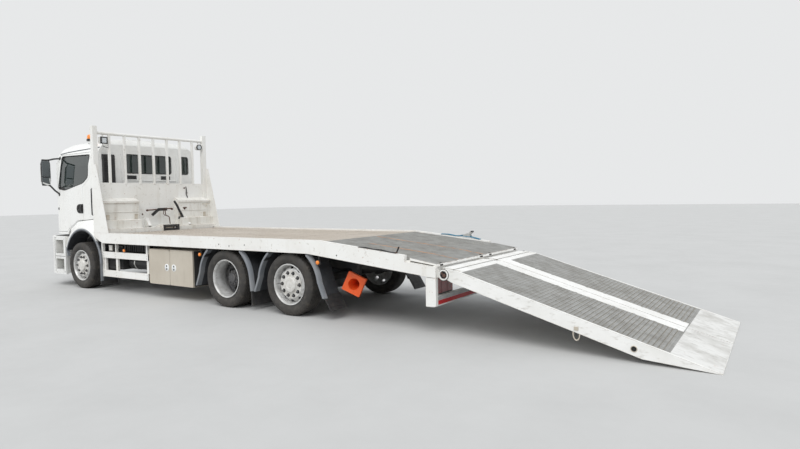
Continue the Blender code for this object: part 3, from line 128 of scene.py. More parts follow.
WARM_DIRT, GREY_DIRT, RUST = (0.3, 0.26, 0.2), (0.33, 0.32, 0.3), (0.3, 0.11, 0.04)
LOOKS = {
    "cab": finish("cab_white", (0.8, 0.8, 0.775), [((0.72, 0.71, 0.68), Mask(1.1, 0.4, 0.75, 0.6, 4)),
        ((0.55, 0.52, 0.46), Mask(5, 0.52, 0.8, 0.3, stretch=(1, 1, 0.16))),
        (GREY_DIRT, Mask(3.5, 0.4, 0.7, 0.45, z=(0.45, 1.35)))], (0.22, 0.36), bumps=[PEEL],
        Coat_Weight=0.45, Coat_Roughness=0.12),
    "bed": finish("bed_white", (0.78, 0.775, 0.745), [((0.68, 0.66, 0.61), Mask(1.6, 0.42, 0.72, 0.75, 8)),
        ((0.5, 0.46, 0.38), Mask(7, 0.56, 0.8, 0.45, stretch=(1, 1, 0.14))),
        (WARM_DIRT, Mask(16, 0.62, 0.74, 0.65)),
        (RUST, Mask(34, 0.68, 0.74, 0.75, 3))], (0.34, 0.58), bumps=[PEEL, FINE],
        edge=((0.36, 0.24, 0.16), 0.012, 0.65)),
    "locker": finish("locker_white", (0.74, 0.73, 0.69), [
        ((0.62, 0.6, 0.54), Mask(2.4, 0.42, 0.68, 0.8, 8)),
        ((0.34, 0.29, 0.22), Mask(8, 0.52, 0.74, 0.6, stretch=(1, 1, 0.2), z=(1.1, 1.95), rest=0.25)),
        (RUST, Mask(26, 0.64, 0.72, 0.85, 4))], (0.4, 0.65), bumps=[PEEL, FINE],
        edge=((0.3, 0.15, 0.08), 0.014, 0.9)),
    "ramp": finish("ramp_white", (0.8, 0.795, 0.77), [((0.66, 0.65, 0.61), Mask(2.2, 0.42, 0.7, 0.7, 9)),
        ((0.4, 0.37, 0.32), Mask(22, 0.56, 0.72, 0.6, 8, stretch=(0.35, 1, 1))),
        (RUST, Mask(40, 0.7, 0.76, 0.6, 3))], (0.36, 0.62), bumps=[PEEL, FINE],
        edge=((0.34, 0.28, 0.22), 0.014, 0.8)),
    "toe": finish("toe_plate_scraped", (0.68, 0.675, 0.65), [
        ((0.46, 0.45, 0.42), Mask(3, 0.45, 0.66, 0.8, 9)),
        ((0.24, 0.22, 0.19), Mask(30, 0.54, 0.7, 0.6, 9, stretch=(0.2, 1, 1))),
        (RUST, Mask(18, 0.66, 0.74, 0.5, 5))], (0.42, 0.66),
        bumps=[FINE, (Mask(40, stretch=(0.2, 1, 1)), 0.12, 0.001)]),
    "chassis": finish("chassis_dark_grey", (0.035, 0.036, 0.038), [
        ((0.1, 0.095, 0.085), Mask(4, 0.42, 0.72, 0.8, 8)),
        ((0.17, 0.15, 0.125), Mask(11, 0.55, 0.78, 0.55, z=(0.3, 1), rest=0.3))], (0.55, 0.82),
        bumps=[FINE, PEEL]),
    "tyre": finish("tyre_rubber", (0.03, 0.028, 0.026), [((0.062, 0.055, 0.047), Mask(5, 0.4, 0.7, 0.8, 7)),
        ((0.115, 0.1, 0.082), Mask(14, 0.52, 0.76, 0.55, 8, z=(0.05, 0.6), rest=0.45))], (0.66, 0.88),
        bumps=[FINE, (Mask(90), 0.1, 0.001)]),
    "rim": finish("rim_silver", (0.6, 0.6, 0.59), [((0.4, 0.39, 0.37), Mask(9, 0.42, 0.7, 0.65, 7)),
        ((0.2, 0.16, 0.12), Mask(26, 0.56, 0.72, 0.6))], (0.34, 0.55), Metallic=0.45),
    "hub_light": finish("hub_light_grey", (0.66, 0.65, 0.62), [
        ((0.46, 0.43, 0.38), Mask(16, 0.44, 0.68, 0.7, 7)),
        ((0.2, 0.15, 0.11), Mask(40, 0.6, 0.72, 0.6, 5))], (0.4, 0.62), Metallic=0.25),
    "hub_dark": finish("hub_dark_grey", (0.085, 0.085, 0.088), [
        ((0.17, 0.16, 0.15), Mask(14, 0.44, 0.7, 0.7, 7))], (0.5, 0.72), Metallic=0.3),
    "shell": finish("mudguard_shell_dark", (0.03, 0.033, 0.038), [
        ((0.075, 0.078, 0.082), Mask(3, 0.44, 0.74, 0.7)),
        ((0.16, 0.15, 0.135), Mask(14, 0.55, 0.8, 0.4, 8))], (0.5, 0.7),
        bumps=[FINE, (Mask(400, detail=1), 0.12, 0.0005)]),
    "grey_plastic": finish("mudguard_grey", (0.15, 0.162, 0.18), [
        ((0.225, 0.232, 0.242), Mask(2.5, 0.4, 0.72, 0.75)),
        ((0.28, 0.265, 0.24), Mask(12, 0.52, 0.78, 0.45, 8))], (0.48, 0.66),
        bumps=[FINE, (Mask(500, detail=1), 0.12, 0.0005)]),
    "grey_lip": finish("mudguard_lip_grey", (0.175, 0.188, 0.205), [
        ((0.26, 0.265, 0.27), Mask(3, 0.42, 0.7, 0.7)),
        ((0.2, 0.19, 0.17), Mask(14, 0.55, 0.78, 0.4, 8))], (0.4, 0.58)),
    "black": finish("black_plastic", (0.016, 0.016, 0.017), [
        ((0.045, 0.043, 0.04), Mask(6, 0.44, 0.74, 0.7, 7)),
        ((0.1, 0.092, 0.08), Mask(18, 0.58, 0.8, 0.35))], (0.42, 0.66)),
    "flap": finish("black_rubber_flap", (0.02, 0.02, 0.021), [
        ((0.055, 0.052, 0.048), Mask(5, 0.42, 0.72, 0.7, 7)),
        ((0.13, 0.115, 0.095), Mask(16, 0.5, 0.76, 0.4, z=(0.05, 0.5)))], (0.55, 0.78),
        bumps=[FINE, (Mask(30, stretch=(1, 1, 0.2)), 0.15, 0.001)]),
    "steel": finish("aluminium_sheet", (0.56, 0.51, 0.43), [
        ((0.48, 0.43, 0.355), Mask(1.5, 0.4, 0.7, 0.8, 5)),
        ((0.36, 0.32, 0.26), Mask(9, 0.56, 0.8, 0.4, stretch=(1, 1, 0.2)))], (0.36, 0.5),
        bumps=[(Mask(130, 0.3, 0.7, detail=2, stretch=(0.05, 1, 1)), 0.06, 0.0005)], rough_scale=3,
        Metallic=0.35),
    "zinc": finish("galvanised_steel", (0.36, 0.36, 0.345), [
        ((0.25, 0.245, 0.23), Mask(55, 0.1, 0.9, 0.35, form="cells")),
        ((0.2, 0.19, 0.17), Mask(6, 0.42, 0.7, 0.6, 8)),
        (RUST, Mask(20, 0.66, 0.76, 0.45))], (0.42, 0.66), Metallic=0.35),
    "bright": finish("bright_zinc", (0.62, 0.62, 0.6), [((0.4, 0.39, 0.37), Mask(22, 0.45, 0.7, 0.7))],
        (0.28, 0.48), Metallic=0.8),
    "wood": finish("deck_planks", (0.42, 0.365, 0.3), [
        ((0.54, 0.49, 0.43), Mask(2.2, 0.4, 0.66, 0.85, 8, stretch=(0.18, 1.4, 1))),
        ((0.27, 0.22, 0.17), Mask(26, 0.5, 0.72, 0.6, 9, stretch=(0.05, 1, 1))),
        ((0.62, 0.58, 0.52), Mask(9, 0.56, 0.74, 0.55, 9, stretch=(0.1, 1, 1))),
        ((0.33, 0.29, 0.25), Mask(1.1, 0.55, 0.75, 0.5))], (0.7, 0.9),
        bumps=[(Mask(60, detail=8, stretch=(0.04, 1, 1)), 0.35, 0.002)]),
    "orange": finish("cone_orange", (0.86, 0.115, 0.018), [((0.55, 0.09, 0.03), Mask(9, 0.5, 0.74, 0.6)),
        ((0.3, 0.15, 0.1), Mask(26, 0.6, 0.76, 0.45))], (0.4, 0.6)),
    "tape_white": finish("reflective_white", (0.74, 0.75, 0.74), [
        ((0.52, 0.5, 0.46), Mask(20, 0.5, 0.72, 0.5))], (0.28, 0.42),
        bumps=[(Mask(400, form="cells"), 0.2, 0.0004)]),
    "tape_red": finish("reflective_red", (0.52, 0.008, 0.012), [
        ((0.36, 0.012, 0.015), Mask(14, 0.48, 0.72, 0.6))], (0.28, 0.42),
        bumps=[(Mask(400, form="cells"), 0.2, 0.0004)]),
    "tape_silver": finish("reflective_silver", (0.42, 0.43, 0.43), [
        ((0.24, 0.24, 0.23), Mask(12, 0.45, 0.7, 0.7))], (0.3, 0.46),
        bumps=[(Mask(300, form="cells"), 0.2, 0.0004)]),
    "amber": finish("amber_lens", (0.9, 0.26, 0.015), [
        ((0.7, 0.17, 0.01), Mask(60, 0.2, 0.8, 0.5, form="bands"))], (0.14, 0.24),
        bumps=[(Mask(90, 0, 1, form="bands"), 0.3, 0.0006)], Coat_Weight=0.6),
    "red_lens": finish("red_lens", (0.28, 0.008, 0.01), [
        ((0.17, 0.006, 0.008), Mask(60, 0.2, 0.8, 0.5, form="bands"))], (0.14, 0.24),
        bumps=[(Mask(90, 0, 1, form="bands"), 0.3, 0.0006)], Coat_Weight=0.6),
    "clear_lens": finish("clear_lens", (0.6, 0.64, 0.66), [
        ((0.38, 0.41, 0.43), Mask(50, 0.2, 0.8, 0.6, form="bands", along="Y"))], (0.06, 0.14),
        bumps=[(Mask(70, 0, 1, form="bands", along="Y"), 0.3, 0.0006)], Coat_Weight=1, Metallic=0.3),
    "green_lens": finish("step_lamp_lens", (0.52, 0.56, 0.42), [
        ((0.36, 0.39, 0.28), Mask(30, 0.42, 0.7, 0.6))], (0.16, 0.28), Coat_Weight=0.5),
    # near-black, nearly opaque glass: the glass's own tint, and painted shade of the dark cab behind it
    "glass": finish("tinted_glass_and_painted_interior_shade", (0.01, 0.018, 0.016), [
        ((0.026, 0.042, 0.037), Mask(1.6, 0.45, 0.75, 0.7, 5))], (0.03, 0.07), bumps=(), Coat_Weight=1,
        Coat_Roughness=0.02, Alpha=0.9),
    "mirror": finish("mirror_glass", (0.55, 0.58, 0.6), [((0.42, 0.45, 0.48), Mask(3, 0.45, 0.75, 0.5))],
        (0.03, 0.08), bumps=(), Metallic=1),
    "cloth": finish("seat_cloth", (0.045, 0.048, 0.058), [
        ((0.085, 0.088, 0.1), Mask(40, 0.3, 0.8, 0.5, form="bands", along="Y")),
        ((0.03, 0.03, 0.034), Mask(6, 0.45, 0.7, 0.6))], (0.82, 0.96),
        bumps=[(Mask(220, 0, 1, form="bands", along="Y"), 0.4, 0.0008), (Mask(220, 0, 1, form="bands",
                                                                              along="Z"), 0.4, 0.0008)],
        Sheen_Weight=0.4),
    "strap_blue": finish("strap_blue", (0.035, 0.17, 0.27), [
        ((0.08, 0.24, 0.33), Mask(14, 0.45, 0.7, 0.7))], (0.7, 0.88),
        bumps=[(Mask(300, 0, 1, form="bands"), 0.5, 0.0006)]),
    "strap_black": finish("strap_black", (0.018, 0.018, 0.018), [
        ((0.05, 0.048, 0.044), Mask(14, 0.45, 0.7, 0.7))], (0.72, 0.9),
        bumps=[(Mask(300, 0, 1, form="bands"), 0.5, 0.0006)]),
    "rust_steel": finish("rusted_steel", (0.085, 0.04, 0.026), [
        ((0.1, 0.06, 0.045), Mask(18, 0.42, 0.68, 0.8, 8)),
        ((0.24, 0.095, 0.045), Mask(30, 0.55, 0.72, 0.5))], (0.66, 0.88),
        bumps=[FINE, (Mask(120), 0.3, 0.001)]),
    "rust_line": finish("orange_rust_line", (0.55, 0.25, 0.1), [
        ((0.34, 0.3, 0.26), Mask(12, 0.46, 0.62, 0.9, 8)),
        ((0.68, 0.32, 0.12), Mask(24, 0.55, 0.72, 0.6))], (0.66, 0.88)),
    # near-black painted shade: stands in for the shade inside holes, slots, recesses and gaps between parts
    "painted_shade_in_holes_and_gaps": finish("painted_shade_in_holes_and_gaps", (0.008, 0.008, 0.008), [((0.02, 0.018, 0.016), Mask(20, amount=0.7))],
        (0.8, 0.95)),
}


# ---- shapes: places are stations along the truck, 0 at its rearmost axle, as in the source ----

SHIFT = 0.76


def at(x, y, z):
    return Vector((x - SHIFT, y, z))


def spread(start, end, steps):
    return [start + (end - start) * i / steps for i in range(steps + 1)]


def about(middle, half):
    """The limits of a stretch about its middle."""
    return middle - half, middle + half


def turns(count, start=0):
    """Angles of equal steps round a circle."""
    return [2 * pi * (i + start) / count for i in range(count)]


def cs(angle):
    return cos(radians(angle)), sin(radians(angle))


def ways(spots):
    """The direction of a path at each of its points."""
    return [(after - before).normalized() for before, after in zip(spots[:1] + spots, spots[1:] + spots[-1:])]


def linked(name, data):
    thing = bpy.data.objects.new(name, data)
    bpy.context.scene.collection.objects.link(thing)
    return thing


def shade(data, looks, angle):
    for look in looks:
        data.materials.append(LOOKS[look])
    data.polygons.foreach_set("use_smooth", [True] * len(data.polygons))
    data.set_sharp_from_angle(angle=radians(angle))
    return data


class Kit:
    """Gathers shapes in one mesh; kit(look) picks the look of what follows. y counts outwards on its side."""

    def __init__(self, side=1):
        self.form, self.side, self.look = bmesh.new(), side, 0

    def __call__(self, look):
        self.look = look
        return self

    def at(self, x, y, z):
        return at(x, self.side * y, z)

    def faces(self, points, faces):
        verts = [self.form.verts.new(p) for p in points]
        for row in faces:
            self.form.faces.new([verts[i] for i in row]).material_index = self.look
        return self

    def rings(self, rows):
        """Skins rows of points that run round a solid, and caps both ends."""
        n, last = len(rows[0]), len(rows) - 1
        sides = [(k * n + i, k * n + (i + 1) % n, (k + 1) * n + (i + 1) % n, (k + 1) * n + i)
                 for k in range(last) for i in range(n)]
        return self.faces([p for row in rows for p in row],
                          sides + [tuple(range(n))[::-1], tuple(range(last * n, last * n + n))])

    def box(self, x, y, z, tilt=0):
        """A box between limits, turned about the y axis through its middle."""
        low, high = (Vector([pick(limits) for limits in (x, [self.side * v for v in y],
                                                         z)]) for pick in (min, max))
        middle, half = (low + high) / 2, (high - low) / 2
        turn = Matrix.Rotation(tilt, 3, "Y")
        points = [at(*(middle + turn @ Vector((a * half.x, b * half.y, c * half.z))))
                  for c in (-1, 1) for a, b in ((-1, -1), (1, -1), (1, 1), (-1, 1))]
        return self.faces(points, ((3, 2, 1, 0), (4, 5, 6, 7), (0, 1, 5, 4), (1, 2, 6, 5), (2, 3, 7, 6),
                                   (3, 0, 4, 7)))

    def boxes(self, *rows):
        for row in rows:
            self.box(*row)
        return self

    def prism(self, outline, limits, plane="XZ"):
        """An outline of (station, height), or (y, z), drawn out between two limits."""
        n = len(outline)
        points = [self.at(u, w, v) if plane == "XZ" else self.at(w, u, v) for w in limits for u, v in outline]
        return self.faces(points, [tuple(range(n)), tuple(range(2 * n - 1, n - 1, -1))]
                          + [(i, i + n, (i + 1) % n + n, (i + 1) % n) for i in range(n)])

    def pipe(self, path, radius, sides=12, flat=1):
        """A rod or tube along points, by way of the turns between its stretches."""
        spots = [self.at(*p) for p in path]
        rows, side = [], None
        for spot, way in zip(spots, ways(spots)):
            side = (way.orthogonal() if side is None else side - side.dot(way) * way).normalized()
            up = way.cross(side)
            rows.append([spot + radius * (cos(t) * side + flat * sin(t) * up) for t in turns(sides)])
        return self.rings(rows)

    def strap(self, path, width, thick, across=(0, 1, 0)):
        """A flat band along points."""
        spots = [self.at(*p) for p in path]
        across = Vector(across).normalized()
        rows = []
        for spot, way in zip(spots, ways(spots)):
            up = way.cross(across).normalized()
            side = up.cross(way).normalized()
            rows.append([spot + side * a * width / 2 + up * b * thick / 2
                         for a, b in ((-1, -1), (1, -1), (1, 1), (-1, 1))])
        return self.rings(rows)

    def turned(self, profile, centre, sides=24, closed=False, axis="Y", way=1):
        """(radius, distance along the axis) rows turned about an axis; a closed profile is a ring."""
        spot = self.at(*centre)
        n, way = len(profile), way * (self.side if axis == "Y" else 1)
        grid = []
        for t in turns(sides):
            row = []
            for radius, along in profile:
                u, v, w = radius * cos(t), radius * sin(t), way * along
                row.append(self.form.verts.new(spot + Vector({"Y": (u, w, v), "X": (w, u, v),
                                                              "Z": (u, v, w)}[axis])))
            grid.append(row)
        for a, b in zip(grid, grid[1:] + grid[:1]):
            for i in range(n if closed else n - 1):
                j = (i + 1) % n
                if (a[i].co - b[i].co).length > 1e-7 or (a[j].co - b[j].co).length > 1e-7:
                    self.form.faces.new((a[i], a[j], b[j], b[i])).material_index = self.look
        return self

    def dome(self, centre, radius, height, sides, axis, way=1, rise=5):
        """A rounded cap on a flat back."""
        rows = [(radius * cos(k * pi / 2 / rise), height * sin(k * pi / 2 / rise))
                for k in range(rise + 1)]
        return self.turned([(0, 0)] + rows, centre, sides, False, axis, way)

    def bolt(self, centre, size, high, axis="Y", way=1):
        """A hexagon head on a washer."""
        self.turned([(0, 0), (size * 1.35, 0), (size * 1.35, 0.0018), (0, 0.0018)], centre, 18, False, axis,
                    way)
        return self.turned([(0, high), (size * 0.82, high), (size, high * 0.85), (size, 0), (0, 0)], centre,
                           6,
                           False, axis, way)

    def skin(self, ys, z, thick, proud, surface):
        """A band that follows a curved front between two heights."""
        return self.rings([[self.at(surface(y) + proud - inset, y, height) for inset, height in
                            ((thick, z[0]), (0, z[0]), (0, z[1]), (thick, z[1]))] for y in ys])

    def mesh(self, name="form", weld=True):
        if weld:
            bmesh.ops.remove_doubles(self.form, verts=self.form.verts, dist=1e-6)
        bmesh.ops.recalc_face_normals(self.form, faces=self.form.faces)
        data = bpy.data.meshes.new(name)
        self.form.to_mesh(data)
        self.form.free()
        return data

    def done(self, name, looks, body, slot, bevel=0, angle=35, replaces=()):
        looks = (looks,) if isinstance(looks, str) else looks
        return piece(name, shade(self.mesh(name), looks, angle), body, bevel, angle, replaces)


def piece(name, data, body, bevel=0, angle=35, replaces=()):
    """A finished object from a mesh: rounded edges and body."""
    thing = linked(name, data)
    if bevel:
        soften(thing, bevel, angle)
    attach(thing, body)
    if replaces:
        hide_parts(*replaces)
    return thing


def soften(thing, width, angle=35):
    made = thing.modifiers.new("edges", "BEVEL")
    made.width, made.segments = width, 2
    made.limit_method, made.angle_limit = "ANGLE", radians(angle)
    made.harden_normals = made.use_clamp_overlap = True


def baked(thing):
    """The mesh of an object with its modifiers applied; the object goes."""
    bpy.context.view_layer.update()
    data = bpy.data.meshes.new_from_object(thing.evaluated_get(bpy.context.evaluated_depsgraph_get()))
    bpy.data.objects.remove(thing, do_unlink=True)
    return data


def carved(kit, cutter, looks):
    data = kit.mesh()
    for look in looks:
        data.materials.append(LOOKS[look])
    body, knife = linked("form", data), linked("form", cutter.mesh())
    made = body.modifiers.new("cut", "BOOLEAN")
    made.operation, made.object, made.solver = "DIFFERENCE", knife, "EXACT"
    data = baked(body)
    bpy.data.objects.remove(knife, do_unlink=True)
    kit = Kit()
    kit.form.from_mesh(data)
    bpy.data.meshes.remove(data)
    return kit


# ---- camera, light and floor ----

def stage():
    """The photograph's camera, a pale floor, a soft sky and two soft suns."""
    scene = bpy.context.scene
    forward = Vector((0.55003, -0.83391, -0.04549))
    right = Vector((-0.83507, -0.54989, -0.0167))
    data = bpy.data.cameras.new("camera")
    data.sensor_width, data.lens, data.clip_end = 36, 26.13, 400
    scene.camera = linked("camera", data)
    scene.camera.matrix_world = (Matrix.Translation((-6.645, 7.233, 1.66))
                                 @ Matrix((right, right.cross(forward), -forward)).transposed().to_4x4())
    floor = bpy.data.meshes.new("floor")
    floor.from_pydata([(-90, -90, 0), (90, -90, 0), (90, 90, 0), (-90, 90, 0)], [], [(0, 1, 2, 3)])
    floor.materials.append(finish("floor_grey", (0.5, 0.5, 0.49), [((0.47, 0.47, 0.46), Mask(0.8, 0.4))],
                                  (0.75, 0.9), [(Mask(120), 0.05, 0.001)]))
    linked("floor", floor)

    world = scene.world = bpy.data.worlds.new("studio")
    world.use_nodes = True
    tree = world.node_tree
    lit = tree.nodes["Background"]
    feed(tree, lit, {"Color": (0.93, 0.96, 1, 1), "Strength": 0.8})
    seen = add(tree, "Background", {"Color": (0.8, 0.81, 0.815, 1), "Strength": 1})
    rays = tree.nodes.new("ShaderNodeLightPath").outputs
    pale = both(tree, rays["Is Camera Ray"], rays["Is Glossy Ray"], "MAXIMUM")
    pale = both(tree, pale, rays["Is Transmission Ray"], "MAXIMUM")
    feed(tree, tree.nodes["World Output"],
         {"Surface": add(tree, "MixShader", {0: pale, 1: lit.outputs[0], 2: seen})})
    for name, energy, width, place in (("key", 1.75, 40, (-6, 9, 14)), ("fill", 0.62, 60, (7, 8, 7))):
        light = bpy.data.lights.new(name, "SUN")
        light.energy, light.angle = energy, radians(width)
        linked(name, light).rotation_euler = (-Vector(place)).to_track_quat("-Z", "Y").to_euler()
    scene.view_settings.view_transform = "Standard"


stage()


# ---- the CAD solids that stay: rounded edges and a finish each ----

DRESS = """
cab 0.004 cab_body front_panel door_*
cab 0.006 cab_roof
cab 0.008 bumper
bed 0.003 bed_frame rear_underrun headboard side_guard_*
locker 0.004 lockers_and_fairlead
ramp 0.003 ramp_*
chassis 0.003 chassis_frame frame_rail_left engine_and_shaft front_axle drive_axle tag_axle
chassis 0.003 cab_tilt_frame knuckle_*
shell 0.003 fenders_* front_fender_*
black 0.003 air_intake battery_box_and_air_tanks dashboard_and_wheel
glass 0 windscreen rear_window door_window_*
steel 0.003 toolbox toolbox_door_front toolbox_door_rear fuel_tank_and_silencer
zinc 0 slope_deck ramp_grating_*
wood 0.002 wood_deck
black 0.008 mirror_*
orange 0.003 traffic_cones
cloth 0.003 seats
tyre 0.003 front_tyre_* tag_tyre_* drive_outer_tyre_* drive_inner_tyre_*
rim 0.003 front_rim_* tag_rim_* drive_rim_*
"""
for line in DRESS.split("\n")[1:-1]:
    look, width, *names = line.split()
    for name in [name.replace("*", word) for name in names for word, _ in SIDES[:1 + name.count("*")]]:
        thing = NODES[name]
        for slot in thing.material_slots:
            slot.material = LOOKS[look]
        if float(width):
            thing.modifiers.new("joined", "WELD").merge_threshold = 0.00005
            soften(thing, float(width))


# ---- wheels: built about the origin, then set on the CAD places ----

HALF_TYRE, HUB_Z, BLOCKS = 0.146, 0.45, 54
DUAL = 0.165        # from the middle of a pair of twin tyres to each tyre's middle
WALL = ((0.2805, 0.7), (0.285, 0.735), (0.292, 0.765), (0.297, 0.762), (0.302, 0.8), (0.315, 0.88),
        (0.333, 0.945), (0.338, 0.947), (0.342, 0.968), (0.36, 0.995), (0.38, 1), (0.4, 0.985),
        (0.405, 0.97), (0.41, 0.966), (0.42, 0.94), (0.434, 0.88), (0.443, 0.8))
TREAD = ((0.4475, 0.107), (0.4495, 0.096), (0.45, 0.08), (0.45, 0.06), (0.44, 0.0585), (0.44, 0.0525),
         (0.45, 0.051), (0.45, 0.025), (0.44, 0.0235), (0.44, 0.0175), (0.45, 0.016))
SHOULDER = 0.085    # beyond this from its middle the tread is cut into blocks


def tyre_data():
    """A truck tyre: ribbed walls, four grooves, and cuts in its shoulders."""
    half = [(r, share * HALF_TYRE, 0) for r, share in WALL] + [(r, y, 0.01 * (y > SHOULDER)) for r,
                                                               y in TREAD]
    rows = half + [(r, -y, cut) for r, y, cut in reversed(half)]
    kit = Kit()
    for block in range(BLOCKS):
        for part, deep in ((0, 0), (0.7, 0), (0.76, 1), (0.94, 1)):
            t = 2 * pi * (block + part) / BLOCKS
            for r, y, cut in rows:
                kit.form.verts.new(((r - cut * deep) * cos(t), y, (r - cut * deep) * sin(t)))
    kit.form.verts.ensure_lookup_table()
    n, verts = len(rows), kit.form.verts
    for start in range(0, len(verts), n):
        for i in range(n):
            j = (i + 1) % n
            kit.form.faces.new([verts[k % len(verts)] for k in (start + i, start + j, start + n + j,
                                                                start + n + i)])
    return shade(kit.mesh("tyre", False), ["tyre"], 38)


RIM_RING = ((0.2985, 0.129), (0.2985, 0.118), (0.28, 0.113), (0.279, -0.113), (0.2985, -0.118),
            (0.2985, -0.129), (0.293, -0.1315), (0.284, -0.128), (0.272, -0.112), (0.269, -0.088),
            (0.256, -0.056), (0.256, 0.035), (0.264, 0.06), (0.27, 0.088), (0.2725, 0.112),
            (0.284, 0.1285), (0.293, 0.132))
HUB = (SHIFT, 0, 0)


def nuts(kit, y, size=0.0185, high=0.024):
    """Ten wheel nuts with their studs on a circle, each in a near-black dish of painted shade."""
    for t in turns(10):
        spot = (0.1675 * cos(t) + SHIFT, y, 0.1675 * sin(t))
        kit(1).turned([(0, 0), (0.0275, 0), (0.0275, 0.0025), (0.0215, 0.004), (0, 0.004)], spot, 18)
        kit(2).turned([(0, high), (size * 0.8, high), (size, high * 0.85), (size, 0.003), (0, 0.003)], spot,
                      6)
        kit.turned([(0, high + 0.014), (0.0075, high + 0.014), (0.0095, high + 0.011), (0.0095, high)], spot,
                   10)


def single_rim(disc, back, top, level):
    """A steel wheel: ring, dished disc with hand holes, nuts and hub cap."""
    holes = Kit()
    for t in turns(10, 0.5):
        spot, along = Vector((cos(t), 0, sin(t))), Vector((-sin(t), 0, cos(t)))
        holes.rings([[spot * 0.2395 + along * 0.031 * cos(a) + spot * 0.0185 * sin(a) + Vector((0, y, 0))
                      for a in turns(22)] for y in (-0.05, 0.2)])
    looks = ("rim", "painted_shade_in_holes_and_gaps", "hub_dark", "hub_light")
    kit = carved(Kit().turned(disc + back[::-1], HUB, 120, True), holes, looks)
    kit.turned(RIM_RING, HUB, 120, True)
    kit(3).turned([(0.205, level + 0.0012), (0.205, level + 0.004), (0.132, level + 0.0065),
                   (0.128, level + 0.004)],
                  HUB, 96, True)
    kit.turned([(0.128, level), (0.126, level + 0.01), (0.115, level + 0.016), (0.1125, top - 0.012),
                (0.106, top - 0.004), (0.092, top), (0.06, top), (0.056, top - 0.003), (0.05, top - 0.003),
                (0.046, top), (0, top)], HUB, 72)
    nuts(kit, level + 0.0055)
    kit(2).pipe([(SHIFT + 0.222, 0.07, 0), (SHIFT + 0.226, 0.096, 0), (SHIFT + 0.236, 0.118, 0)], 0.0045, 10)
    return shade(kit.mesh("rim", False), looks, 32)


def twin_rim():
    """Two rims back to back: the outer one is a deep dish with a dark perforated disc and hub."""
    face = Kit().turned([(0.257, 0.06), (0.248, 0.036), (0.23, 0.026), (0.13, 0.02), (0.118, 0.02),
                         (0.118, 0.008), (0.232, 0.012), (0.256, 0.024), (0.264, 0.056)], HUB, 120, True)
    holes = Kit()
    for t in turns(8, 0.5):
        holes.pipe([(SHIFT + 0.205 * cos(t), y, 0.205 * sin(t)) for y in (-0.05, 0.1)], 0.0285, 28)
    looks = ("hub_dark", "painted_shade_in_holes_and_gaps", "chassis", "rim")
    kit = carved(face, holes, looks)
    for sign in (1, -1):
        kit(3).turned([(r, sign * (DUAL + y)) for r, y in RIM_RING], HUB, 120, True)
    kit(0).turned([(0.118, 0.02), (0.121, 0.03), (0.121, 0.124), (0.112, 0.136), (0.108, 0.138),
                   (0.108, 0.146),
                   (0.076, 0.15), (0.07, 0.168), (0.058, 0.174), (0, 0.175)], HUB, 72)
    for t in turns(10, 0.5):
        kit(2).bolt((SHIFT + 0.094 * cos(t), 0.147, 0.094 * sin(t)), 0.01, 0.01)
    nuts(kit, 0.0215)
    return shade(kit.mesh("rim", False), looks, 32)


def wheels():
    """Tyres and rims in place of the plain ones; every wheel is one of three meshes."""
    tyre, twin = tyre_data(), twin_rim()
    front = single_rim([(0.257, 0.052), (0.25, 0.068), (0.23, 0.084), (0.212, 0.0965), (0.115, 0.1)],
                       [(0.264, 0.04), (0.23, 0.07), (0.21, 0.085), (0.115, 0.09)], 0.142, 0.1)
    tag = single_rim([(0.257, 0.034), (0.25, 0.05), (0.228, 0.068), (0.204, 0.0805), (0.115, 0.084)],
                     [(0.264, 0.02), (0.228, 0.054), (0.202, 0.069), (0.115, 0.074)], 0.124, 0.084)
    for axle, x, y, parts in (("front", 5.55, 1.094, ((tyre, "tyre", 0), (front, "rim", 0))),
                              ("tag", 0, 1.094, ((tyre, "tyre", 0), (tag, "rim", 0))),
                              ("drive", 1.35, 0.929, ((tyre, "outer_tyre", DUAL), (tyre, "inner_tyre", -DUAL),
                                                       (twin, "rim", 0)))):
        for word, side in SIDES:
            for data, kind, offset in parts:
                name = f"{axle}_{kind}_{word}"
                thing = piece(f"{name}_dressed", data, f"{axle}_wheel_{word}",
                              replaces=(name,))
                thing.matrix_world = (Matrix.Translation(at(x, side * (y + offset), HUB_Z))
                                      @ Matrix.Rotation(pi * (side < 0), 4, "Z"))


wheels()


# ---- cab ----

def along(table, value):
    """Straight-line reading of a table of (value, result)."""
    rows = sorted(table)
    for (a, p), (b, q) in zip(rows, rows[1:]):
        if a <= value <= b:
            return p + (q - p) * (value - a) / (b - a)
    return rows[0][1] if value < rows[0][0] else rows[-1][1]


PLAN = ((0, 6.95), (0.15, 6.95), (0.45, 6.92), (0.75, 6.87), (0.93, 6.8), (1.05, 6.7), (1.105, 6.6))
PROFILE = ((1.08, 6.95), (1.75, 6.945), (1.93, 6.88), (2.62, 6.57), (2.78, 6.45))
FLANK = ((1, 1.12), (2, 1.12), (2.4, 1.1), (2.66, 1.065), (2.765, 1), (2.85, 0.88),
         (2.905, 0.7), (2.938, 0.4))
BUMPER = ((0, 6.97), (0.3, 6.97), (0.7, 6.94), (0.95, 6.88), (1.12, 6.78), (1.215, 6.64), (1.24, 6.5))
CAB_REAR = 5.07


def face_x(y, z):
    """Station of the cab's front skin."""
    return min(along(PLAN, abs(y)), along(PROFILE, z))


def face_y(z):
    """Half width of the cab's skin at a height."""
    return along(FLANK, z)


def bumper_x(y):
    return along(BUMPER, abs(y))


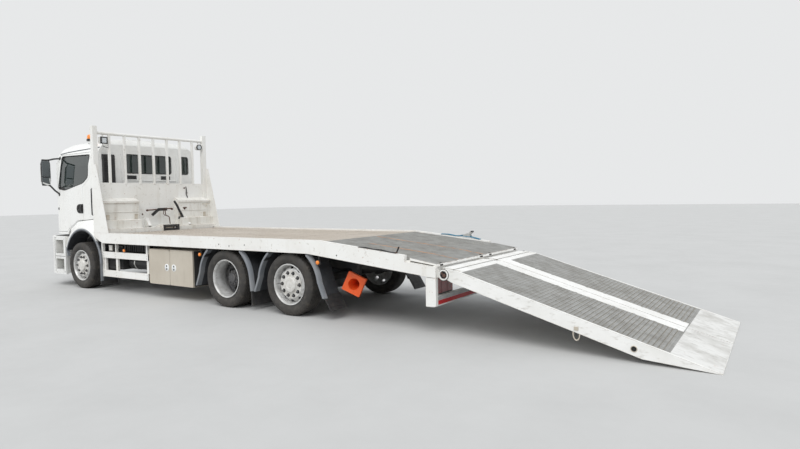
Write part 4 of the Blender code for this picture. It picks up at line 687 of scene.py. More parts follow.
def cab_front():
    """Grille, the windscreen's seal, wipers and grab rails."""
    front = lambda y: face_x(y, 1.3)
    kit = Kit()
    for z in (1.12, 1.22, 1.32, 1.42, 1.52):
        kit.skin(spread(-0.612, 0.612, 14), (z + 0.0225, z + 0.033), 0.05, -0.006, front)
        for y in spread(-0.57, 0.57, 16):
            kit.box((front(y) - 0.042, front(y) - 0.016), about(y, 0.004), (z + 0.004, z + 0.051))
    # near-black sheet behind the grille bars: painted shade of the dark space behind the grille
    kit(1).skin(spread(-0.6, 0.6, 12), (1.115, 1.58), 0.006, -0.063, front)
    kit.done("cab_grille", ("black", "painted_shade_in_holes_and_gaps"), "cab", "black_plastic", 0.0015)

    kit = Kit()
    for y, reach, lean in ((0.62, -0.6, 0.1), (-0.02, -0.6, 0.1), (-0.66, -0.24, 0.09)):
        x = face_x(y, 1.935)
        kit.turned([(0, 0.02), (0.016, 0.018), (0.021, 0), (0, 0)], (x + 0.006, y, 1.935), 20, False, "X")
        elbow_y, tip_y, tip_z = y + reach * 0.2, y + reach * 0.55, 1.99 + lean
        kit.pipe([(x + 0.018, y, 1.938), (face_x(elbow_y, 1.975) + 0.022, elbow_y, 1.975),
                  (face_x(tip_y, tip_z) + 0.018, tip_y, tip_z)], 0.0075, 8, 0.6)
        kit.pipe([(face_x(b, c) + 0.008, b, c) for b, c in
                  ((tip_y + 0.34 * s, tip_z + 0.03 * s) for s in (-1, -0.5, 0, 0.5, 1))], 0.006, 8, 1.8)
    kit.done("cab_wipers", "black", "cab", "black_plastic")

    seal, rails = Kit(), Kit()
    for side in (1, -1):
        seal.side = rails.side = side
        for z, drop in ((1.955, 0.012), (2.606, 0.01)):
            seal.skin(spread(0.99, 0, 12), (z - drop, z + drop), 0.012, 0.0012, lambda y, z=z: face_x(y, z))
        seal.pipe([(face_x(0.986, z) + 0.001, 0.986, z) for z in spread(1.96, 2.6, 8)], 0.008, 8)
        rails.pipe([(face_x(y, 1.655) + proud, y, 1.655) for proud, y in
                    ((-0.01, 0.44), (0.026, 0.47), (0.028, 0.6), (0.026, 0.78), (-0.006, 0.81))], 0.01, 10)
    seal.done("windscreen_seal", "black", "cab", "black_plastic")
    rails.done("cab_front_rails", "black", "cab", "black_plastic")


def cab_side(word, side):
    """Door handle and lamp, window seal, gutter and grab rail."""
    y = 1.12
    kit = Kit(side)
    outline = [(5.606, 1.461), (5.606, 1.648), (5.7, 1.646)] + [
        (5.742 + 0.105 * cos(t), 1.5545 + 0.0915 * sin(t)) for t in spread(1.45, -1.45, 14)] + [(5.7, 1.463)]
    kit.prism(outline, (y - 0.004, y + 0.0025))
    # near-black inset in the handle's surround: painted shade of the recess behind the grip
    kit(1).prism([(5.612 + (u - 5.612) * 0.88, 1.5545 + (v - 1.5545) * 0.8) for u, v in outline],
                 (y + 0.0025, y + 0.004))
    kit(2).pipe([(x, y + proud, z) for x, proud, z in
                 ((5.64, 0.003, 1.475), (5.646, 0.03, 1.5), (5.65, 0.034, 1.555), (5.646, 0.03, 1.612),
                  (5.64, 0.003, 1.636))], 0.012, 12, 0.7)
    kit.turned([(0, 0.004), (0.012, 0.004), (0.014, 0), (0, 0)], (5.76, y + 0.003, 1.53), 20)
    kit(0).turned([(0, 0.012), (0.026, 0.011), (0.03, 0.006), (0.03, -0.004), (0, -0.004)], (6.545, 1.104,
                                                                                             1.56))
    kit.done(f"door_handle_{word}", ("black", "painted_shade_in_holes_and_gaps", "hub_dark"), f"door_{word}", "black_plastic",
             0.002)

    window = [(6.42, 2.617), (5.38, 2.606), (5.415, 2.163), (5.59, 2.057), (6.275, 1.931), (6.52, 1.965)]
    ring = []
    for i, spot in enumerate(window):
        for other in (window[i - 1], window[(i + 1) % len(window)]):
            u, v = (s + (o - s) * 0.035 / dist(spot, other) for s, o in zip(spot, other))
            ring.append((u, face_y(v) - 0.002, v))
    kit = Kit(side).pipe(ring + ring[:2], 0.0085, 8)
    for band in (((6.3, 1.94), (6.515, 1.972), (6.418, 2.606), (6.33, 2.606)),
                 ((5.388, 2.17), (5.48, 2.125), (5.462, 2.602), (5.384, 2.602))):
        kit(1).faces([kit.at(u, face_y(v) - w, v) for w in (0.0175, 0.015) for u, v in band],
                     [(0, 1, 2, 3), (7, 6, 5, 4)] + [(i, i + 4, (i + 1) % 4 + 4,
                                                      (i + 1) % 4) for i in range(4)])
    kit.done(f"door_window_seal_{word}", ("black", "black"), f"door_{word}", "black_plastic")

    inset = ((5.07, 1.02), (5.1, 1.09), (5.17, 1.12), (6.48, 1.12))
    rail = ((6.475, 2.668), (6.2, 2.694), (5.8, 2.712), (5.4, 2.726), (5.175, 2.734), (5.11, 2.736))
    Kit(side).pipe([(u, min(face_y(v), along(inset, u)) + 0.004, v) for u, v in rail], 0.011, 8, 0.8).done(
        f"roof_gutter_{word}", "grey_plastic", "cab", "grey_plastic")
    Kit(side).pipe([(5.235, 1.118, 1.42), (5.235, 1.15, 1.44), (5.235, 1.152, 1.685), (5.235, 1.15, 1.93),
                    (5.235, 1.118, 1.95)], 0.011, 10).done(
        f"cab_grab_rail_{word}", "black", "cab", "black_plastic")


def cab_rear():
    """Vents, panel ribs, the corner pane, window seals and the intake's louvres on the rear wall."""
    x = CAB_REAR
    kit = Kit()
    for y0, y1 in ((0.305, 0.517), (-0.466, -0.252)):
        kit(0).box((x - 0.01, x), (y0, y1), (2.13, 2.205))
        for z in spread(2.141, 2.191, 4):
            kit(1).box((x - 0.0135, x - 0.006), (y0 + 0.012, y1 - 0.012), about(z, 0.0035), 0.35)
    kit.done("cab_rear_vents", ("black", "chassis"), "cab", "black_plastic", 0.002)

    kit = Kit()
    for z, half in ((2.105, 0.62), (1.98, 0.7), (1.72, 0.7)):
        kit.pipe([(x - 0.002, -half, z), (x - 0.005, -half + 0.03, z), (x - 0.005, half - 0.03, z),
                  (x - 0.002, half, z)],
                 0.008, 8, 0.7)
    for y in (0.62, -0.62):
        kit.pipe([(x - 0.001, y, 1.48), (x - 0.005, y, 1.52), (x - 0.005, y, 2.6), (x - 0.001, y, 2.64)],
                 0.01, 8)
    kit.done("cab_rear_ribs", "cab", "cab", "white_paint")

    pane, r = (-0.925, -0.735, 2.255, 2.628), 0.03
    Kit().box((x + 0.018, x + 0.024), pane[:2], pane[2:]).done("corner_pane", "glass", "cab", "glass", 0.001)
    kit = Kit()
    for y0, y1, z0, z1 in (pane, (-0.5, 0.52, 2.25, 2.622)):
        loop = [(x - 0.001, y, z) for y, z in ((y0 + r, z0), (y1 - r, z0), (y1, z0 + r), (y1, z1 - r),
                                               (y1 - r, z1), (y0 + r, z1), (y0, z1 - r), (y0, z0 + r))]
        kit.pipe(loop + loop[:2], 0.0085, 8)
    kit.done("rear_window_seals", "black", "cab", "black_plastic")

    kit = Kit()
    for z in spread(1.76, 2.5, 18):
        kit.box((5.006, 5.016), (0.8, 0.99), about(z, 0.006), 0.5)
    kit.prism([(5.012, 2.5), (5.07, 2.5), (5.07, 2.6), (5.04, 2.6)], (0.775, 1.015))
    kit.pipe([(5.04, 0.9, 1.705), (5.04, 0.9, 1.62), (5.052, 0.9, 1.58)], 0.06, 18)
    kit.done("intake_louvres", "black", "cab", "black_plastic", 0.002)


def roof_things():
    """The beacon's lens, marker lamps and the roof hatch."""
    beacon = (5.84, 0.78, 0)
    kit = Kit().turned([(0, 2.915), (0.082, 2.915), (0.082, 2.952), (0.07, 2.962), (0, 2.962)], beacon, 40,
                       False, "Z")
    kit(1).turned([(0.072, 2.955), (0.073, 2.985), (0.07, 3.02), (0.058, 3.042), (0.03, 3.052), (0, 3.053)],
                  beacon, 40, False, "Z")
    kit.done("roof_beacon", ("black", "amber"), "cab", "black_plastic")
    kit = Kit()
    for y in (0.3, 0.1, -0.1, -0.3):
        kit.dome((6.475, y, 2.758), 0.03, 0.016, 24, "Z")
    kit.done("roof_marker_lamps", "amber", "cab", "orange_plastic")
    Kit().boxes(((5.38, 5.92), (-0.3, 0.3), (2.93, 2.958)), ((5.43, 5.87), (-0.25, 0.25),
                                                             (2.955, 2.964))).done(
        "roof_hatch", "cab", "cab", "white_paint", 0.012)


def mirror(word, side):
    """A rounded mirror head with a pale shell, two glasses, and jointed arms."""
    y0, y1, x0, x1, low, high = 1.232, 1.414, 6.575, 6.65, 2.03, 2.56
    kit = Kit(side)
    rows = []
    for z, near, far, deep in ((low, y0 + 0.02, y1 - 0.012, 0.6), (low + 0.1, y0, y1 - 0.002, 1),
                               (high - 0.1, y0 + 0.002, y1, 1), (high, y0 + 0.02, y1 - 0.016, 0.6)):
        front = x0 + (x1 - x0) * deep
        rows.append([kit.at(x, y, z) for x, y in ((x0, near), (x0, far), (front, far - 0.02),
                                                  (front, near + 0.02))])
    kit.rings(rows)
    for path in (((6.6, 1.3, 2.545), (6.604, 1.235, 2.553), (6.565, 1.165, 2.575), (6.5, 1.062, 2.585)),
                 ((6.6, 1.3, 2.048), (6.604, 1.235, 2.028), (6.565, 1.165, 1.928), (6.49, 1.105, 1.85))):
        x, y, z = path[-1]
        kit.pipe(path, 0.0165).dome((x, y - 0.004, z), 0.045, 0.03, 24, "Y")
    for z in ((2.215, 2.53), (2.062, 2.192)):
        kit(1).box((6.5715, 6.576), (y0 + 0.016, y1 - 0.016), z)
    kit.done(f"mirror_{word}_dressed", ("black", "mirror"), f"door_{word}", "black_plastic", 0.01,
             replaces=(f"mirror_{word}",))
    kit = Kit(side)
    kit.rings([[kit.at(front + x, y, z) for x, y in ((-0.04, far), (0.001, far - 0.014),
                                                     (0.006, (near + far) / 2),
                                                     (0.001, near + 0.014), (-0.04, near))]
               for z, near, far, front in ((2.065, 1.262, 1.392, 6.628), (2.11, 1.24, 1.41, 6.656),
                                           (2.4, 1.24, 1.4135, 6.658), (2.535, 1.262, 1.392, 6.63))])
    kit.done(f"mirror_shell_{word}", "cab", f"door_{word}", "white_paint", 0.006)
    kit = Kit(side).prism([(6.566, 2.172), (6.574, 2.06), (6.59, 2.048), (6.59, 2.19)], (1.242, 1.262))
    kit.prism([(1.395, 2.075), (1.3, 2.03), (1.25, 2.052), (1.395, 2.1)], (6.564, 6.572), "YZ")
    kit.done(f"mirror_wedge_{word}", "cab", f"door_{word}", "white_paint", 0.003)


SEATS = ((0.62, 0.235), (-0.345, 0.19), (-0.76, 0.19))    # middle and half width


def cushion(name, outline, half, y, seat_half):
    """A padded form with two seams and a ribbed middle."""
    body = linked("form", Kit().prism(outline, (y - half, y + half)).mesh())
    grid = body.modifiers.new("remesh", "REMESH")
    grid.mode, grid.voxel_size = "VOXEL", 0.02
    rounding = body.modifiers.new("round", "SMOOTH")
    rounding.factor, rounding.iterations = 0.5, 6
    data = baked(body)
    middle = sum((v.co for v in data.vertices), Vector()) / len(data.vertices)
    for v in data.vertices:
        across = (v.co.y - y) / seat_half
        seam = exp(-((abs(across) - 0.62) / 0.07) ** 2) * 0.01
        ridge = 0.004 * cos(18 * (v.co.x if "cushion" in name else v.co.z) * pi) * (abs(across) < 0.55)
        v.co += (v.co - middle).normalized() * (ridge - seam)
    data.materials.append(LOOKS["cloth"])
    data.polygons.foreach_set("use_smooth", [True] * len(data.polygons))
    thing = piece(name, data, "cab")
    fine = thing.modifiers.new("fine", "SUBSURF")
    fine.render_levels = fine.levels = 1
    return thing


def cabin():
    """Cushions and backs in place of the plain seats."""
    for index, (y, half) in enumerate(SEATS):
        for kind, wide, outline in (
                ("cushion", half, [(5.38, 1.59), (5.88, 1.59), (5.885, 1.69), (5.86, 1.712), (5.4, 1.7)]),
                ("back", half - 0.01, [(5.372, 1.7), (5.485, 1.7), (5.47, 1.86), (5.395, 2.255),
                                       (5.3, 2.255)]),
                ("headrest", 0.12, [(5.372, 2.262), (5.29, 2.262), (5.262, 2.44), (5.322, 2.44)])):
            cushion(f"seat_{kind}_{index + 1}", outline, wide, y, half)
    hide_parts("seats")
    kit = Kit()
    for y0, y1 in ((-0.695, -0.385), (0.385, 0.695)):
        kit.box((5.452, 5.798), (y0, y1), (1.42, 1.578))
    for y, _ in SEATS:
        for spot in about(y, 0.05):
            kit.pipe([(5.335, spot, 2.235), (5.318, spot, 2.3)], 0.006, 10)
    kit.done("seat_bases", "black", "cab", "black_plastic", 0.012)


cab_front()
for sided in SIDES:
    cab_side(*sided)
cab_rear()
roof_things()
for sided in SIDES:
    mirror(*sided)
cabin()


# ---- front end and mudguards ----

ARCH = (5.475, 0.53)
CAB_EDGE = ((4.992, 0.9), (4.992, 1.346), (5.3, 1.34), (5.82, 1.3), (6.124, 1.139), (6.104, 1.03),
            (6.104, 0.7))


def to_edge(c, s):
    """How far a ray from the arch's centre reaches to the cab's lower edge."""
    reach = 2
    for (x0, z0), (x1, z1) in zip(CAB_EDGE, CAB_EDGE[1:]):
        det = c * (z1 - z0) - s * (x1 - x0)
        if abs(det) > 1e-9:
            t = ((x0 - ARCH[0]) * (z1 - z0) - (z0 - ARCH[1]) * (x1 - x0)) / det
            u = ((x0 - ARCH[0]) * s - (z0 - ARCH[1]) * c) / det
            if t > 0 and -1e-6 <= u <= 1 + 1e-6:
                reach = min(reach, t)
    return max(reach, 0.655)


def front_mudguard(word, side):
    """The white cover between a front wheel's lip and the cab's lower edge; the grey lip and its flap."""
    cover, lip = Kit(side), Kit(side)

    def row(kit, angle, points):
        c, s = cs(angle)
        return [kit.at(ARCH[0] + r * c, y, ARCH[1] + r * s) for r, y in points]

    rows = []
    for a in spread(24, 141, 30):
        reach = to_edge(*cs(a))
        stops = [(0.64, 1.238), (min(0.662, reach), 1.238), (0.62 + (reach - 0.62) * 0.45, 1.19),
                 (0.62 + (reach - 0.62) * 0.72, 1.14), (reach, 1.117)]
        rows.append(row(cover, a, stops + [(r, y - 0.008) for r, y in stops[::-1]]))
    cover.rings(rows).done(f"front_mudguard_cover_{word}", "cab", "chassis", "white_paint", 0.002, 40)
    lip.rings([row(lip, a, ((0.6005, 1.19), (0.6005, 1.238), (0.61, 1.2395), (0.638, 1.2395), (0.646, 1.236),
                            (0.648, 1.225), (0.64, 1.205), (0.624, 1.19))) for a in spread(19, 182, 40)])
    lip.boxes(((4.848, 4.876), (1.19, 1.239), (0.19, 0.52)), ((6.036, 6.064), (1.19, 1.239), (0.61, 0.742),
                                                              0.3))
    lip(1).box((4.852, 4.872), (0.905, 1.236), (0.115, 0.2))
    lip.done(f"front_mudguard_lip_{word}", ("grey_lip", "flap"), "chassis", "grey_plastic", 0.003)


def bumper_parts():
    """Headlamps, fog lamps and grille mesh on the bumper."""
    lamps, grille, fog = Kit(), Kit(), Kit()
    for z in ((0.352, 0.436), (0.472, 0.556)):
        for y in spread(-0.485, 0.485, 26):
            grille.box((6.916, 6.936), about(y, 0.003), z)
    grille.skin(spread(-0.505, 0.505, 8), (0.35, 0.56), 0.006, -0.052, bumper_x)
    for side in (1, -1):
        lamps.side = grille.side = fog.side = side
        lamps(0).skin(spread(0.685, 1.165, 12), (0.615, 0.785), 0.006, 0.01, bumper_x)
        for y, r in ((0.8, 0.068), (0.99, 0.056)):
            lamps(1).turned([(r, 0), (r, 0.004), (r - 0.008, 0.006), (r - 0.012, 0.002)],
                            (bumper_x(y) + 0.001, y, 0.7), 36, True, "X")
        lamps(2).skin(spread(1.085, 1.16, 4), (0.62, 0.78), 0.006, 0.0118, bumper_x)
        for z in ((0.603, 0.615), (0.785, 0.797)):
            lamps(3).skin(spread(0.68, 1.17, 12), z, 0.012, 0.012, bumper_x)
        x = bumper_x(0.78)
        grille.turned([(0, -0.02), (0.058, -0.02), (0.058, 0.0165), (0.048, 0.018), (0, 0.018)],
                      (x - 0.001, 0.78, 0.42), 32, False, "X")
        fog.dome((x + 0.0165, 0.78, 0.42), 0.046, 0.006, 32, "X")
    lamps.done("headlamps", ("clear_lens", "bright", "amber", "black"), "chassis", "glass", 0.001)
    grille.done("bumper_grille", "black", "chassis", "black_plastic", 0.001)
    fog.done("fog_lamps", "clear_lens", "chassis", "glass")


def steps(word, side):
    """The cab's steps with their treads and lamp, and the seams beside them."""
    kit = Kit(side)
    for low, high in ((0.34, 0.53), (0.66, 0.91)):
        kit(0).box((6.186, 6.474), (1.072, 1.236), (low + 0.0004, low + 0.01))
        for y in spread(1.085, 1.225, 8):
            kit.box((6.192, 6.468), about(y, 0.003), (low + 0.01, low + 0.014))
        kit(1).box((6.184, 6.476), (1.0705, 1.0735), (low + 0.02, high))
    kit(2).box((6.34, 6.43), (1.0735, 1.115), (0.415, 0.52))
    # two near-black patches in the lower step's pocket: painted shade of the recess
    kit(3).boxes(((6.33, 6.47), (1.0735, 1.08), (0.352, 0.395)), ((6.2, 6.29), (1.0735, 1.08), (0.352, 0.54)))
    kit.done(f"step_treads_{word}", ("zinc", "locker", "green_lens", "painted_shade_in_holes_and_gaps"), "chassis", "galvanised",
             0.0015)
    kit = Kit(side).boxes(((6.12, 6.5), (1.2385, 1.2412), (0.598, 0.606)),
                          ((6.502, 6.508), (1.236, 1.241), (0.29, 0.985)))
    for x, z in ((6.15, 0.95), (6.15, 0.29), (6.47, 0.97), (6.47, 0.27)):
        kit(1).bolt((x, 1.24, z), 0.007, 0.003)
    kit.done(f"bumper_seam_{word}", ("black", "hub_dark"), "chassis", "black_plastic")


FENDERS = ((1.35, 1, 0.085, 0.66, None), (1.35, -1, 0.02, 0.66, (0.735, 0.088)),
           (0, 1, 0.085, 0.9, None), (0, -1, 0.085, 0.9, (-0.8, 0.143)))


def rear_mudguards(word, side):
    """Pale flared lips along the quarter mudguards, their seams, and the black flaps."""
    z, top = 0.44, 0.345
    high = degrees(atan2(0.901 - z, 0.36))
    kit, flaps = Kit(side), Kit(side)
    for x, way, flare, inner_y, flap in FENDERS:
        foot = 0.587 + flare
        rows = []
        for u, v, a in [(0.589 * cs(a)[0], z + 0.589 * cs(a)[1], a) for a in spread(high - 1, 8, 18)] + [
                (foot + 0.002, 0.305, 4)]:
            c, s = cs(a)
            rows.append([kit.at(x + way * (u + r * c), y, v + r * s) for r, y in
                         ((-0.02, 1.17), (-0.022, 1.256), (-0.014, 1.262), (0.01, 1.26), (0.026, 1.236),
                          (0.03, 1.2), (0.006, 1.17))])
        kit(0).rings(rows)
        c, s = cs(high - 13)
        kit(1).box((x + way * 0.56 * c - 0.003, x + way * 0.56 * c + 0.003), (1.15, 1.2635),
                   (z + 0.56 * s - 0.03, z + 0.62 * s), -way * radians(103 - high))
        for a in (high - 20, 30):
            kit.bolt((x + way * 0.592 * cs(a)[0], 1.12, z + 0.592 * cs(a)[1]), 0.008, 0.006)
        if flap:
            start = x + way * (foot - 0.002)
            flaps.prism([(start + way * 0.003, top), (start - way * 0.015, top),
                         (flap[0] - way * 0.015, flap[1] - 0.002), (flap[0] + way * 0.003, flap[1] - 0.002)],
                        (inner_y + 0.002, 1.248))
            for t in (0.25, 0.5, 0.75):
                u, v = start + (flap[0] - start) * t + way * 0.003, top + (flap[1] - top) * t
                flaps.box(about(u, 0.003), (inner_y + 0.03, 1.22), about(v, 0.004))
    kit.done(f"mudguard_lips_{word}", ("grey_lip", "black"), "chassis", "grey_plastic", 0.0025)
    flaps.done(f"mud_flaps_{word}", "flap", "chassis", "rubber", 0.002)


def side_markers():
    """Amber side lamps on their brackets."""
    kit = Kit()
    for side in (1, -1):
        kit.side = side
        for x, y, z in ((1.915, 1.262, 0.808), (-0.582, 1.262, 0.797), (4.11, 1.215, 0.788)):
            kit(1).boxes((about(x, 0.034), (y - 0.04, y - 0.012), about(z, 0.03)),
                         (about(x, 0.01), (y - 0.06, y - 0.03), (z + 0.01, z + 0.104)))
            kit(0).turned([(0, 0.01), (0.018, 0.009), (0.027, 0.003), (0.029, -0.012), (0, -0.012)],
                          (x, y, z))
    kit.done("side_marker_lamps", ("amber", "black"), "chassis", "orange_plastic", 0.003)


def tool_box_parts():
    """Locks, hinges, gaskets and a drip rail on the toolbox."""
    y = 1.2202
    for name, x, x0, x1, hinge_x in (("front", 2.838, 2.758, 3.333, 3.331), ("rear", 2.645, 2.145, 2.752,
                                                                             2.147)):
        kit = Kit().turned([(0, 0.004), (0.056, 0.004), (0.062, 0), (0, 0)], (x, y, 0.548), 36)
        # two near-black dots on each lock: painted shade of its holes
        for z in (0.523, 0.573):
            kit(1).turned([(0, 0.0056), (0.015, 0.0056), (0.017, 0.004), (0, 0.004)], (x, y, z), 20)
        rim = (y - 0.001, y + 0.0022)
        kit(2).boxes(((x1 - 0.014, x1), rim, (0.252, 0.846)), ((x0, x0 + 0.014), rim, (0.252, 0.846)),
                     ((x0, x1), rim, (0.252, 0.266)), ((x0, x1), rim, (0.832, 0.846)))
        for z in (0.345, 0.55, 0.755):
            kit.pipe([(hinge_x, y + 0.001, z - 0.03), (hinge_x, y + 0.001, z + 0.03)], 0.006, 14)
        kit.done(f"toolbox_door_trim_{name}", ("tape_white", "painted_shade_in_holes_and_gaps", "steel"), f"toolbox_door_{name}",
                 "aluminium", 0.0008)
    kit = Kit().boxes(((2.143, 3.335), (0.68, 1.206), (0.848, 0.853)), ((2.185, 2.215), (0.7, 1.2),
                                                                        (0.244, 0.25)),
                      ((3.265, 3.295), (0.7, 1.2), (0.244, 0.25)))
    for x, way in ((2.1435, -1), (3.3345, 1)):
        for y in spread(0.72, 1.16, 5):
            for z in (0.8, 0.3):
                kit.bolt((x, y, z), 0.006, 0.004, "X", way)
    kit(1).box((2.1385, 2.1425), (0.69, 1.196), (0.262, 0.84))
    kit.done("toolbox_rails", ("steel", "flap"), "chassis", "aluminium", 0.001)


def side_guard(word, side):
    """Caps, bolts and brackets on a side guard."""
    kit = Kit(side)
    for x in (4.79, 4.4, 3.44):
        for z in (0.665, 0.715, 0.315, 0.37):
            kit.bolt((x, 1.2, z), 0.008, 0.004)
    for z in ((0.633, 0.747), (0.282, 0.402)):
        for x in (3.3995, 4.8255):
            kit(1).box(about(x, 0.0025), (1.174, 1.1995), z)
        kit(2).box((4.8265, 4.85), (1.176, 1.1985), z)
    for x, wide, low in ((4.4, 0.017, 0.7495), (3.44, 0.022, 0.7495), (4.852, 0.024, 0.27)):
        kit.box((x - wide, x + wide), (1.15, 1.196), (low, 0.908))
    kit(3).box((4.56, 4.66), (1.15, 1.172), (0.77, 0.87))
    for x in spread(3.52, 4.33, 14):
        kit(1).box(about(x, 0.012), (1.095, 1.104), (0.765, 0.9))
    kit.done(f"side_guard_fittings_{word}", ("bright", "black", "bed", "locker"), "chassis", "galvanised",
             0.0008)


def tanks():
    """Battery louvres, air tank bands and ends, hoses, the fuel tank's bands and cap, the silencer's pipe."""
    kit = Kit()
    for x in spread(4.315, 4.745, 22):
        kit.box(about(x, 0.005), (1.118, 1.127), (0.44, 0.84))
    for z in (0.455, 0.845):
        kit(1).box((4.295, 4.765), (1.116, 1.124), about(z, 0.012))
    kit.box((4.44, 4.6), (1.127, 1.138), (0.7, 0.735))
    for y in (0.64, 0.92):
        for x in (3.6, 4.05):
            kit(2).turned([(0.1305, -0.018), (0.1335, -0.018), (0.1335, 0.018), (0.1305, 0.018)],
                          (x, y, 0.55), 48,
                          True, "X")
        for x, way in ((3.42, -1), (4.22, 1)):
            kit.turned([(0.13, 0), (0.124, 0.012), (0.09, 0.026), (0.04, 0.033), (0, 0.034)], (x, y, 0.55),
                       48,
                       False, "X", way)
            kit.bolt((x + way * 0.032, y, 0.55), 0.014, 0.016, "X", way)
    for y0, y1, x0, x1, z in ((0.7, 0.98, 3.5, 3.8, 0.705), (0.66, 0.9, 3.95, 4.2, 0.712)):
        kit(1).pipe([(x0, y0, z - 0.04), (x0 + 0.05, y0 + 0.08, z + 0.02), ((x0 + x1) / 2, (y0 + y1) / 2,
                                                                            z + 0.04),
                     (x1, y1, z - 0.02)], 0.01, 10)
    kit.done("battery_and_tank_fittings", ("black", "chassis", "bright"), "chassis", "black_plastic", 0.001)

    kit = Kit()
    for x in (2.42, 2.78, 3.13):
        kit.strap([(x, y, z) for y, z in ((-0.6, 0.8425), (-1.1475, 0.8425), (-1.1525, 0.838),
                                          (-1.1525, 0.262),
                                          (-1.1475, 0.2575), (-0.6, 0.2575))], 0.045, 0.003, (1, 0, 0))
    kit(1).turned([(0, 0.03), (0.04, 0.03), (0.046, 0.024), (0.046, 0.004), (0.054, 0), (0, 0)],
                  (2.95, -0.98, 0.842), 32, False, "Z")
    for x in (2.6, 2.95):
        kit(2).box(about(x, 0.085), (-1.155, -1.15), (0.4, 0.43))
    for x in (4.42, 4.68):
        kit.turned([(0.221, -0.012), (0.2245, -0.01), (0.2245, 0.01), (0.221, 0.012)], (x, -0.8, 0.55), 64,
                   True, "X")
    kit.pipe([(4.55, -0.8, 0.335), (4.55, -0.86, 0.3), (4.55, -1, 0.285), (4.55, -1.1, 0.285)], 0.042, 18)
    kit.done("fuel_tank_fittings", ("bright", "black", "steel"), "chassis", "aluminium", 0.001)


bumper_parts()
side_markers()
tool_box_parts()
tanks()
for sided in SIDES:
    front_mudguard(*sided)
    steps(*sided)
    rear_mudguards(*sided)
    side_guard(*sided)


# ---- bed, headboard, lockers and tail ----

LOCKER_FACE = 4.786


def work_lamps():
    """A square work lamp with its cable on the left of the headboard, a round one on the right."""
    kit = Kit().boxes(*(((4.868, 4.896), y, z) for y, z in (
        ((0.995, 1.013), (2.785, 2.915)), ((1.107, 1.125), (2.785, 2.915)), ((0.995, 1.125), (2.785, 2.802)),
        ((0.995, 1.125), (2.898, 2.915)))), ((4.88, 4.93), (1.005, 1.115), (2.795, 2.905)))
    for profile in ([(0.062, 0), (0.062, -0.03), (0.052, -0.03), (0.05, -0.022)],
                    [(0, 0.05), (0.03, 0.046), (0.056, 0.02), (0.062, 0)]):
        kit.turned(profile, (4.9, -1.095, 2.85), 32, False, "X")
    kit(1).box((4.874, 4.882), (1.012, 1.108), (2.802, 2.898)).dome((4.88, -1.095, 2.85), 0.05, 0.007, 32,
                                                                    "X", -1)
    for y in spread(1.02, 1.1, 6):
        kit(2).box((4.8725, 4.8745), about(y, 0.001), (2.804, 2.896))
    kit(0).pipe([(4.93, 1.06, 2.8), (4.925, 1.06, 2.74), (4.925, 0.96, 2.715)], 0.006, 10)
    kit.done("work_lamps", ("black", "clear_lens", "bright"), "chassis", "black_plastic", 0.001)


def panel_cables():
    kit = Kit().pipe([(4.912, -0.74, 1.985), (4.91, -0.752, 1.9), (4.908, -0.742, 1.82), (4.91, -0.77, 1.76),
                      (4.912, -0.785, 1.7)], 0.009, 10)
    kit.pipe([(4.912, 0.388, 1.655), (4.908, 0.398, 1.56), (4.908, 0.402, 1.46)], 0.006, 10)
    for y, z in ((0.388, 1.662), (0.406, 1.456), (0.402, 1.545), (-0.88, 1.552), (0.3, 1.42), (-0.7, 1.955)):
        kit(1).bolt((4.914, y, z), 0.013, 0.009, "X", -1)
    for y in (-0.745, -0.775):
        kit.box((4.906, 4.918), about(y, 0.012), (1.845, 1.853))
    kit.done("panel_cables", ("black", "rust_steel"), "chassis", "black_plastic")


def off_locker(*rows):
    """Points given by their distance in front of the lockers' face."""
    return [(LOCKER_FACE + x, y, z) for x, y, z in rows]


def winch():
    """The winch's straps, lever and cable, and the fairlead with its rollers and drum."""
    kit = Kit().strap(off_locker((0, -0.35, 1.68), (-0.012, -0.405, 1.585), (-0.01, -0.465, 1.47),
                                 (-0.03, -0.53, 1.34), (-0.034, -0.515, 1.312), (-0.03, -0.42, 1.33)),
                      0.052, 0.008, (0, 0.87, 0.5))
    kit.strap(off_locker((0.03, 0.154, 1.395), (0.025, 0.085, 1.45), (0.02, 0.01, 1.508), (0.02, -0.188,
                                                                                           1.512)),
              0.06, 0.01, (0, 0.5, 0.87))
    kit(1).pipe(off_locker((0.04, 0.262, 1.498), (0.02, -0.3, 1.526)), 0.013, 14)
    kit.pipe(off_locker((-0.01, -0.56, 1.532), (-0.01, -0.64, 1.536)), 0.012, 14)
    for y, z in ((0.262, 1.498), (-0.3, 1.512), (-0.6, 1.512)):
        kit.turned([(0, 0.022), (0.02, 0.018), (0.022, 0), (0.02, -0.018), (0, -0.022)],
                   (LOCKER_FACE + 0.02, y, z), 18, False, "X")
    kit(2).pipe(off_locker((0.01, -0.134, 1.495), (0.008, -0.138, 1.43), (0.006, -0.146, 1.386),
                           (0.006, -0.2, 1.364), (0.006, -0.226, 1.346), (0.01, -0.243, 1.205)), 0.009)
    kit.pipe(off_locker((0.01, -0.105, 1.49), (0.006, -0.09, 1.42), (0.006, -0.13, 1.38)), 0.007)
    kit.done("winch_straps", ("strap_black", "rust_steel", "rust_steel"), "chassis", "seat_cloth", 0.001)

    tall = (1.0812, 1.199)
    kit = Kit()
    for y, inner in ((-0.29, (-0.3145, -0.2665)), (0.04, (0.017, 0.0175))):
        kit.boxes(((4.58, 4.5848), about(y, 0.0215), tall), ((4.586, 4.64), inner, tall))
    kit.box((4.586, 4.606), (-0.268, 0.018), (1.187, 1.2))
    for z in (1.105, 1.166):
        kit.pipe([(4.606, -0.268, z), (4.606, 0.018, z)], 0.0185, 20)
    kit(1).turned([(0.052, -0.105), (0.052, -0.097), (0.03, -0.093), (0.03, 0.093), (0.052, 0.097),
                   (0.052, 0.105)],
                  (4.69, -0.125, 1.135), 28)
    for n in range(9):
        kit(2).turned([(0.03, -0.009), (0.038, -0.007), (0.041, 0), (0.038, 0.007), (0.03, 0.009)],
                      (4.69, -0.205 + 0.02 * n, 1.135), 24, True)
    kit.done("winch_fairlead", ("black", "rust_steel", "steel"), "chassis", "black_plastic", 0.0015)


